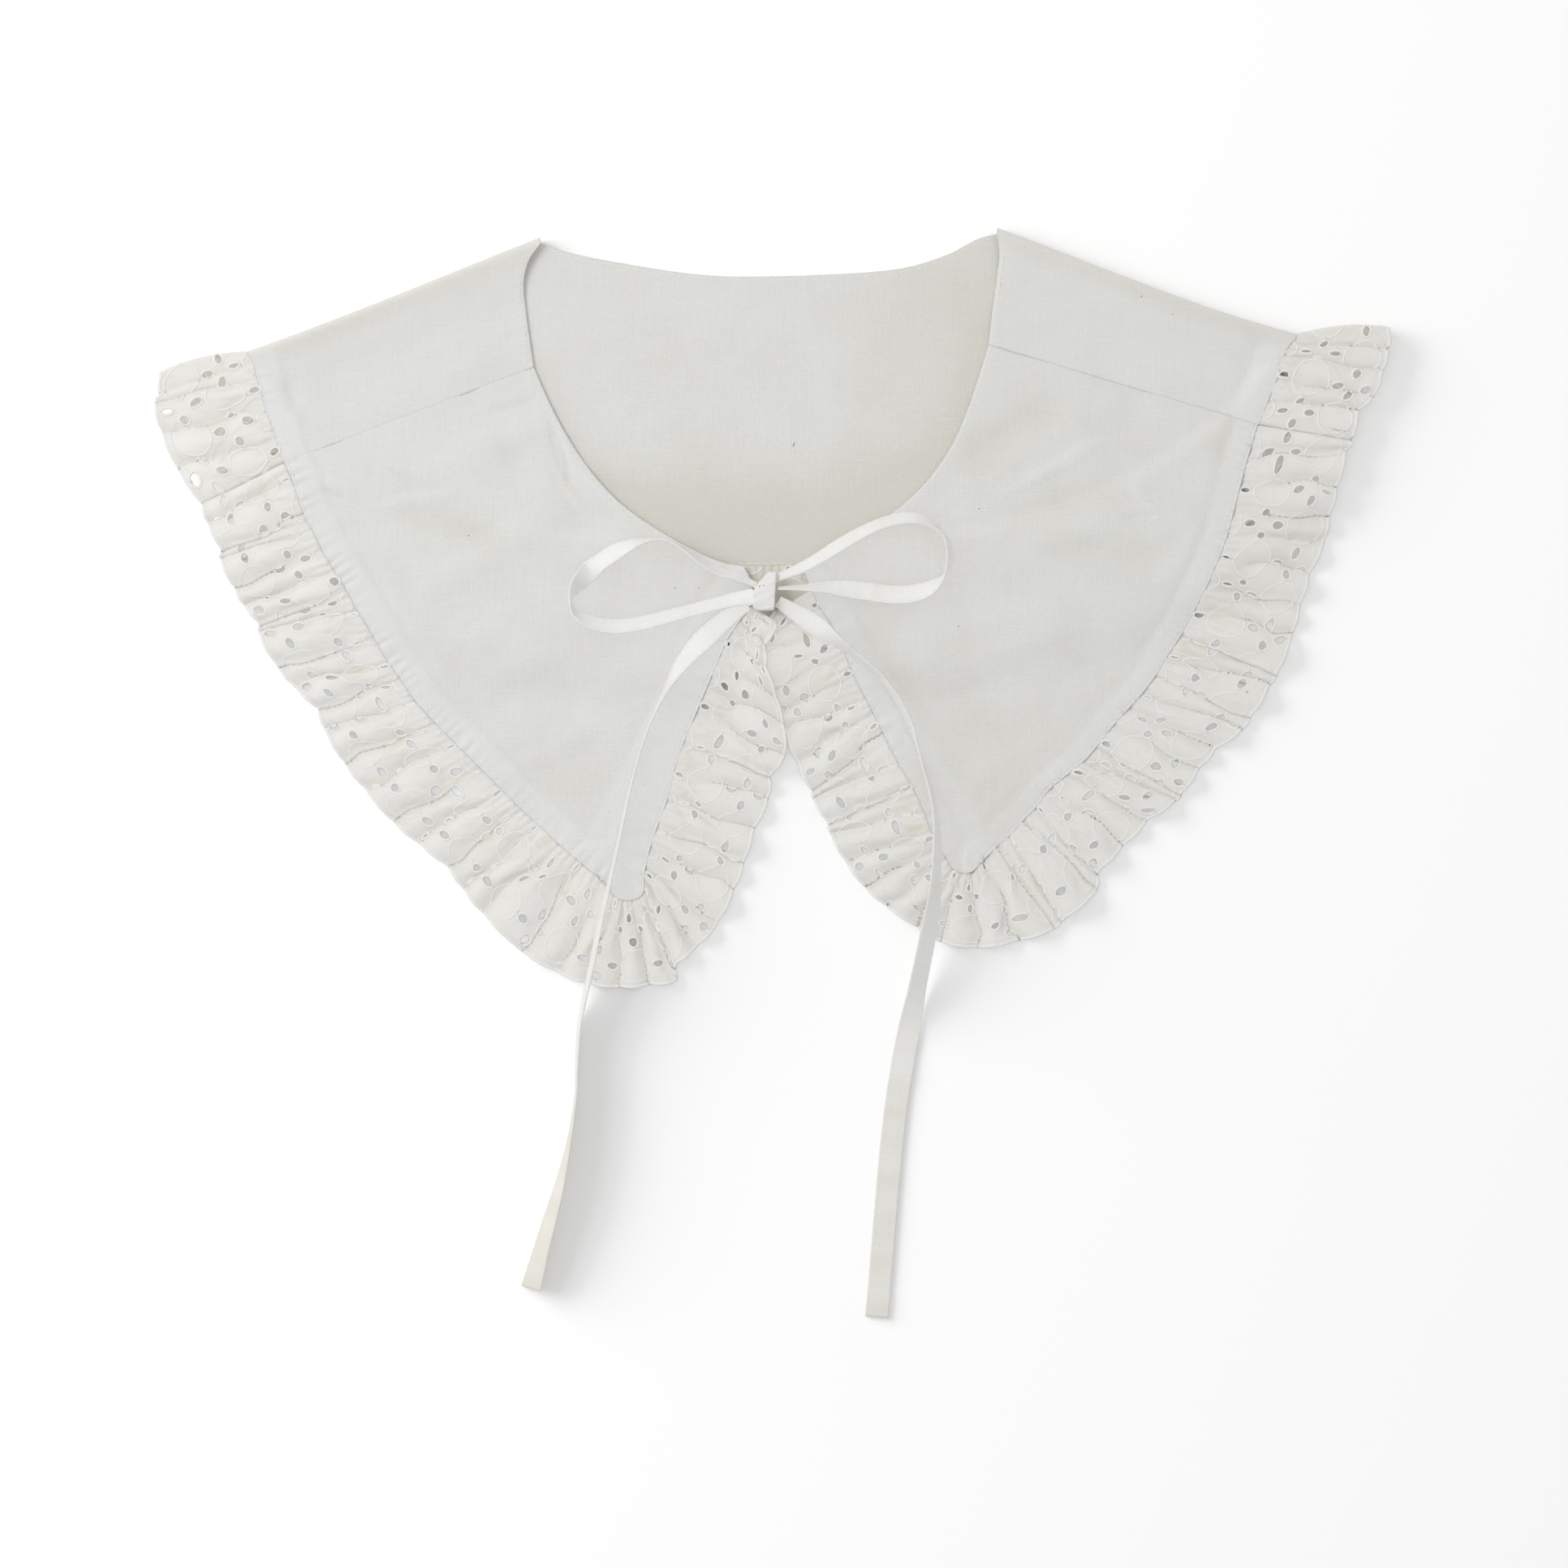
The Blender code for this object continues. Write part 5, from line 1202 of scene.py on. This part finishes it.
def back_strip():
    """Grid and painted shade of the back's ruffle, from its left end on top, under the fronts, to its right
    end.
    """

    def over(creases, fold, seed):
        first = Crease(*fold.seam, *fold.edge, 0.3)
        grid, tint = top_strip((first,) + creases, seed)
        settled = ease(nearest(grid[..., :2], np.array((fold.seam, fold.edge)))[0] / 3.0)
        grid[..., 2] = lerp(2.0 * FOLD_RADIUS + LACE / 2, grid[..., 2], settled)
        out = unit(fold.edge - fold.seam)
        share = steps(LACE_ROWS)[:, None]
        turns = []
        for turn in FOLD_TURNS:
            points = lerp(fold.seam - out * 0.3, fold.edge, share)
            bulge = FOLD_BULGE * np.sin(turn) * 4.0 * share * (1.0 - share)
            points = points + fold.out * (bulge + np.sin(turn) * FOLD_RADIUS)
            rise = np.full(LACE_ROWS + 1, LACE / 2 + FOLD_RADIUS * (1.0 - np.cos(turn)))
            turns.append(np.column_stack((points, rise)))
        # Painted shade on the fold's turn.
        tint = np.concatenate((tint[::-1], np.full((len(FOLD_TURNS), LACE_ROWS + 1), 0.3)))
        return np.concatenate((grid[::-1], turns)), tint

    left, shade_left = over(RUFFLE_BACK_LEFT, FOLD_LEFT, 4.0)
    right, shade_right = over(RUFFLE_BACK_RIGHT, FOLD_RIGHT, 6.0)
    count = BACK_WAVES * 36
    share = steps(count)
    run = np.minimum(share, 1.0 - share)[:, None] * SEAM_LINE.length
    on_left = (share < 0.5)[:, None]
    width_left, width_right = (np.linalg.norm(f.edge - f.seam) for f in (FOLD_LEFT, FOLD_RIGHT))
    way = np.where(on_left, unit(FOLD_LEFT.edge - FOLD_LEFT.seam), unit(FOLD_RIGHT.edge - FOLD_RIGHT.seam))
    out = unit(lerp(way, SEAM_LINE.side(share), ease(run / 25.0)))
    width = lerp(np.where(on_left, width_left, width_right), BACK_LACE_WIDTH, ease(run / 25.0))
    seam = SEAM_LINE.at(share)
    across = steps(LACE_ROWS)[None, :, None]
    plane = lerp((seam - out * 0.3)[:, None], (seam + out * width)[:, None], across)
    wave = np.abs(np.sin(np.pi * share * BACK_WAVES))[:, None] * BACK_LACE_RISE * ease(run / 14.0)
    band = across[..., 0]
    height = LACE_SHELL / 2 + 0.05 + wave * lerp(0.35, 1.0, ease(band * 1.6))
    small = np.abs(np.sin(np.pi * share * SEAM_LINE.length / GATHER_PITCH))[:, None]
    height = height + 0.8 * small * (1.0 - ease(band / 0.3)) * ease(run / 14.0)
    height = lerp(LACE / 2, height, ease(run / 10.0))
    under = np.concatenate((plane, height[..., None]), axis=-1)
    grid = np.concatenate((left, under, right[::-1]))
    # Painted shade, full strength, on all of the part that lies under the fronts.
    return grid, np.concatenate((shade_left, np.full(under.shape[:2], 1.0), shade_right[::-1]))


# Pattern of the lace in flat coordinates: (along, across) of one repeat
RING_RADIUS = 6.1
RING_POINTS = 44
RIM_POINTS = 18
PETAL_AT = 4.7
PETAL_LONG, PETAL_SHORT = 1.75, 1.25
RINGS = ((7.0, 11.2), (21.0, 25.0))
FLOWERS = ((21.0, 11.2), (7.0, 25.0))
HALF_RING = (21.0, -2.6)
LONE_PETAL = (7.0, 2.1)
BEAD_PITCH, BEAD_LENGTH, BEAD_IN = 1.1, 0.8, 2.0     # overcast row inside the free edge
Petal = namedtuple("Petal", "u v turn long short")


def petals():
    made = [Petal(*LONE_PETAL, np.pi / 2, 1.5, 1.1)]
    for u, v in FLOWERS:
        for k in range(4):
            turn = k * np.pi / 2
            made.append(Petal(u + PETAL_AT * np.cos(turn), v + PETAL_AT * np.sin(turn), turn,
                              PETAL_LONG, PETAL_SHORT))
    return made


def petal_loop(petal, count, grow=0.0):
    angle = 2.0 * np.pi * np.arange(count) / count
    x, y = np.cos(angle) * (petal.long + grow), np.sin(angle) * (petal.short + grow)
    cos, sin = np.cos(petal.turn), np.sin(petal.turn)
    return np.column_stack((petal.u + x * cos - y * sin, petal.v + x * sin + y * cos))


def in_petal(points, petal, grow=0.0):
    away = points - (petal.u, petal.v)
    cos, sin = np.cos(petal.turn), np.sin(petal.turn)
    x, y = away[:, 0] * cos + away[:, 1] * sin, -away[:, 0] * sin + away[:, 1] * cos
    return (x / (petal.long + grow)) ** 2 + (y / (petal.short + grow)) ** 2 < 1.0


def lace_tile(step_u=0.72, step_v=1.0):
    """Triangles of one repeat of the lace, with its eyelets left open."""
    count_u, count_v = int(round(TILE / step_u)), int(round(FLAT / step_v))
    levels = steps(count_v) * FLAT
    inner = []
    for j, v in enumerate(levels):
        u = (np.arange(1, count_u) + (0.5 if j % 2 and j < count_v else 0.0)) * TILE / count_u
        u = u[u < TILE - 0.3]
        inner.append(np.column_stack((u, np.full(len(u), v))))
    inner = np.vstack(inner)
    for petal in petals():
        inner = inner[~in_petal(inner, petal, 0.42)]
    sides = np.vstack([np.column_stack((np.full(len(levels), u), levels)) for u in (0.0, TILE)])
    loops = [petal_loop(petal, 16) for petal in petals()]
    points = np.vstack([sides, inner] + loops)
    edges = []
    first = len(sides) + len(inner)
    for loop in loops:
        count = len(loop)
        edges += [(first + k, first + (k + 1) % count) for k in range(count)]
        first += count
    made = delaunay_2d_cdt(points.tolist(), edges, [], 0, 1e-6)
    points, faces = np.array([tuple(p) for p in made[0]]), np.array(made[2])
    centres = points[faces].mean(axis=1)
    for petal in petals():
        keep = ~in_petal(centres, petal)
        faces, centres = faces[keep], centres[keep]
    return points, faces


def repeated(tile_points, tiles):
    """Tile-wise copies of flat points, shape (tiles, ...)."""
    shift = np.zeros((tiles,) + (1,) * (tile_points.ndim - 1) + (2,))
    shift[..., 0] = (np.arange(tiles) * TILE).reshape((tiles,) + (1,) * (tile_points.ndim - 1))
    return tile_points[None] + shift


def lace_sheet(name, lace, tile, cloth):
    points, faces = tile
    flat = repeated(points, lace.tiles).reshape(-1, 2)
    faces = (faces[None] + (np.arange(lace.tiles) * len(points))[:, None, None]).reshape(-1, 3)
    keys = np.round(flat * 1000).astype(np.int64)
    _, first, same = np.unique(keys, axis=0, return_index=True, return_inverse=True)
    flat, faces = flat[first], same.ravel()[faces]
    placed, _ = lace.place(flat)
    # Painted shade and light of the lace, read at each point.
    tint = lace.read(lace.tint, flat)
    piece = add_mesh(name, placed, faces.tolist(), cloth, flat / CM, tint, LOWEST)
    return thicken(piece, LACE_SHELL)


def ladder_bars():
    """Short satin bars in rows across the corners round each ring."""
    starts, ends = [], []
    for u, v in RINGS:
        for k in range(4):
            turn = np.pi / 4 + k * np.pi / 2
            out, way = np.array((np.cos(turn), np.sin(turn))), np.array((-np.sin(turn), np.cos(turn)))
            for run in np.arange(-4.2, 4.3, 0.7):
                middle = np.array((u, v)) + out * (7.9 + 0.02 * run * run) + way * run
                starts.append(middle - out * 0.62)
                ends.append(middle + out * 0.62)
    starts, ends = np.array(starts), np.array(ends)
    keep = (np.minimum(starts[:, 1], ends[:, 1]) > 0.8) & (np.maximum(starts[:, 1], ends[:, 1]) < FLAT - 1.2)
    return starts[keep], ends[keep]


def embroidery(name, lace, cloth):
    """Satin rims of the eyelets, rings, ladder bars and the overcast free edge, as one mesh."""

    def cord(lines, lift, wide, high, closed):
        places, normals = lace.place(lines, lift)
        return tubes(places, normals, wide, high, closed)

    def bars(starts, ends, lift, radius):
        places, normals = lace.place(starts, lift)
        return capsules(places, lace.place(ends, lift)[0], normals, radius, 4)

    def around(angle):
        return np.column_stack((np.cos(angle), np.sin(angle))) * RING_RADIUS

    def all_along(shapes):
        shapes = np.stack(shapes)
        return repeated(shapes, lace.tiles).reshape(-1, *shapes.shape[1:])

    rims = all_along([petal_loop(petal, RIM_POINTS, 0.35) for petal in petals()])
    circle = around(2.0 * np.pi * np.arange(RING_POINTS) / RING_POINTS)
    arc = around(np.linspace(np.radians(35.0), np.radians(145.0), RIM_POINTS)) + HALF_RING
    run = np.arange(0.0, lace.length, 0.8)
    ripple = 0.15 * np.sin(run * 1.7) + 0.1 * np.sin(run * 0.61)
    edge = np.column_stack((run, FLAT - 0.35 + ripple * 0.5))[None]
    run = np.arange(0.5, lace.length - 0.5, BEAD_PITCH)
    beads = [np.column_stack((run + shift, np.full(len(run), FLAT - BEAD_IN)))
             for shift in (-BEAD_LENGTH / 2, BEAD_LENGTH / 2)]
    ladders = [repeated(ends, lace.tiles).reshape(-1, 2) for ends in ladder_bars()]
    parts = [cord(rims, 0.06, 0.5, 0.42, True),
             cord(all_along([circle + ring for ring in RINGS]), 0.06, 0.45, 0.4, True),
             cord(repeated(arc, lace.tiles), 0.06, 0.45, 0.4, False),
             cord(edge, 0.0, 0.62, 0.4, False),
             bars(*beads, 0.12, 0.26),
             bars(*ladders, 0.16, 0.2)]
    return joined(name, parts, cloth)


def ruffles(cloth, satin):
    tile = lace_tile()
    strips = (("ruffle_left", Lace(*top_strip(RUFFLE_LEFT, 1.0))),
              ("ruffle_right", Lace(*top_strip(RUFFLE_RIGHT, 2.0))),
              ("ruffle_back", Lace(*back_strip())))
    for name, lace in strips:
        sheet = settle(lace_sheet(name + "_lace", lace, tile, cloth), "eyelet_lace", name)
        sewing = settle(embroidery(name + "_embroidery", lace, satin), "eyelet_lace")


# ---- specks

# Flecks caught in the cloth: (x, y, half length, turn in degrees), on the piece that carries them
BROWN_SPECKS = {"ruffle_right_lace": ((155.2, -27.7, 0.4, 20.0),)}
GREY_SPECKS = {
    "knot": ((-4.8, 6.9, 0.35, 40.0), (-3.5, 7.2, 0.2, 0.0)),
    "front_left_cloth": ((-32.5, 6.4, 0.25, 10.0), (-24.8, 6.4, 0.22, 70.0), (-100.3, 23.7, 0.28, 35.0)),
    "front_right_cloth": ((67.2, 32.5, 0.25, 15.0), (60.5, -6.1, 0.25, 60.0)),
    "back_panel_cloth": ((120.5, 102.1, 0.28, 0.0), (130.7, 96.3, 0.22, 50.0), (6.4, 53.6, 0.9, 65.0)),
}
SPECK_RADIUS = 0.16


def specks(name, places, cloth):
    """Short fibres that lie on the top of the named pieces, as one mesh."""
    reader = bpy.context.evaluated_depsgraph_get()
    parts = []
    for carrier, marks in places.items():
        tree = BVHTree.FromObject(bpy.data.objects[carrier], reader)
        for x, y, half, turn in marks:
            above = to_row(np.array([(x, y, 60.0)]))[0]
            spot, normal = tree.ray_cast(Vector(above), Vector((0.0, 0.0, -1.0)))[:2]
            way = np.array((np.cos(np.radians(turn)), np.sin(np.radians(turn)), 0.0))
            way = unit(way - np.array(normal) * np.dot(way, normal))
            middle = np.array((x, y, spot.z / MM))
            parts.append(capsules((middle - way * half)[None], (middle + way * half)[None],
                                  np.array(normal)[None], SPECK_RADIUS, 6))
    return settle(joined(name, parts, cloth), "cotton")


# ---- the collar

def panels(cloth, thread):
    back = back_panel(cloth)
    left, right = fronts()
    for name, front in (("front_left", left), ("front_right", right)):
        settle(thicken(front.mesh(name + "_cloth", cloth), SHELL), "cotton", name)

    def back_height(plane):
        return CLOTH / 2 + back_relief(plane)

    def over_height(plane):
        return rest(plane) + CLOTH / 2 - 0.05

    on_top = SHELL / 2 - 0.02

    def front_rows(front, sign):
        lines = ((front.neck, NECK_STITCH), (front.outer, -SEAM_STITCH), (front.front, SEAM_STITCH))
        return [stitch_row(line.points, front.height, away * sign, on_top) for line, away in lines]

    rows = {"back": [stitch_row(NECK_LINE.points, back_height, NECK_STITCH, on_top),
                     stitch_row(SEAM_LINE.points, back_height, -SEAM_STITCH, on_top)],
            "left": front_rows(left, 1.0), "right": front_rows(right, -1.0)}
    for neck, creases, fold, sign in ((OVER_NECK_LEFT, RUFFLE_BACK_LEFT, FOLD_LEFT, 1.0),
                                      (OVER_NECK_RIGHT, RUFFLE_BACK_RIGHT, FOLD_RIGHT, -1.0)):
        seam = Line([fold.seam] + [(c.seam_x, c.seam_y) for c in creases])
        rows["back"].append(stitch_row(Line(neck).points[8:], over_height, NECK_STITCH * sign, on_top))
        rows["back"].append(stitch_row(seam.points[8:], over_height, -SEAM_STITCH * sign, on_top))
    sewing = {key: settle(joined("stitches_" + key, parts, thread), "cotton")
              for key, parts in rows.items()}


def build():
    camera()
    tape = cloth_material("tie_cotton", 0.05, 0.5, 0.1, 0.15, TAPE_WHITE, 0.8)
    thread = thread_material("stitch_thread", 0.05, (0.90, 0.90, 0.89, 1.0), 0.4)
    ties(tape, thread)
    knot(tape)
    panels(cloth_material("cotton", 0.045, 0.9, 0.26, 0.15), thread)
    ruffles(cloth_material("eyelet_lace", 0.06, 0.6, 0.15, 0.22, LACE_WHITE),
            thread_material("satin", 0.04, (0.93, 0.93, 0.92, 1.0), 0.5))
    specks("specks_brown", BROWN_SPECKS, cloth_material("speck_brown", 0.05, 0.4, 0.2, 0.05, RUST))
    specks("specks_grey", GREY_SPECKS, cloth_material("speck_grey", 0.05, 0.4, 0.2, 0.05, GREY))
    studio()


build()
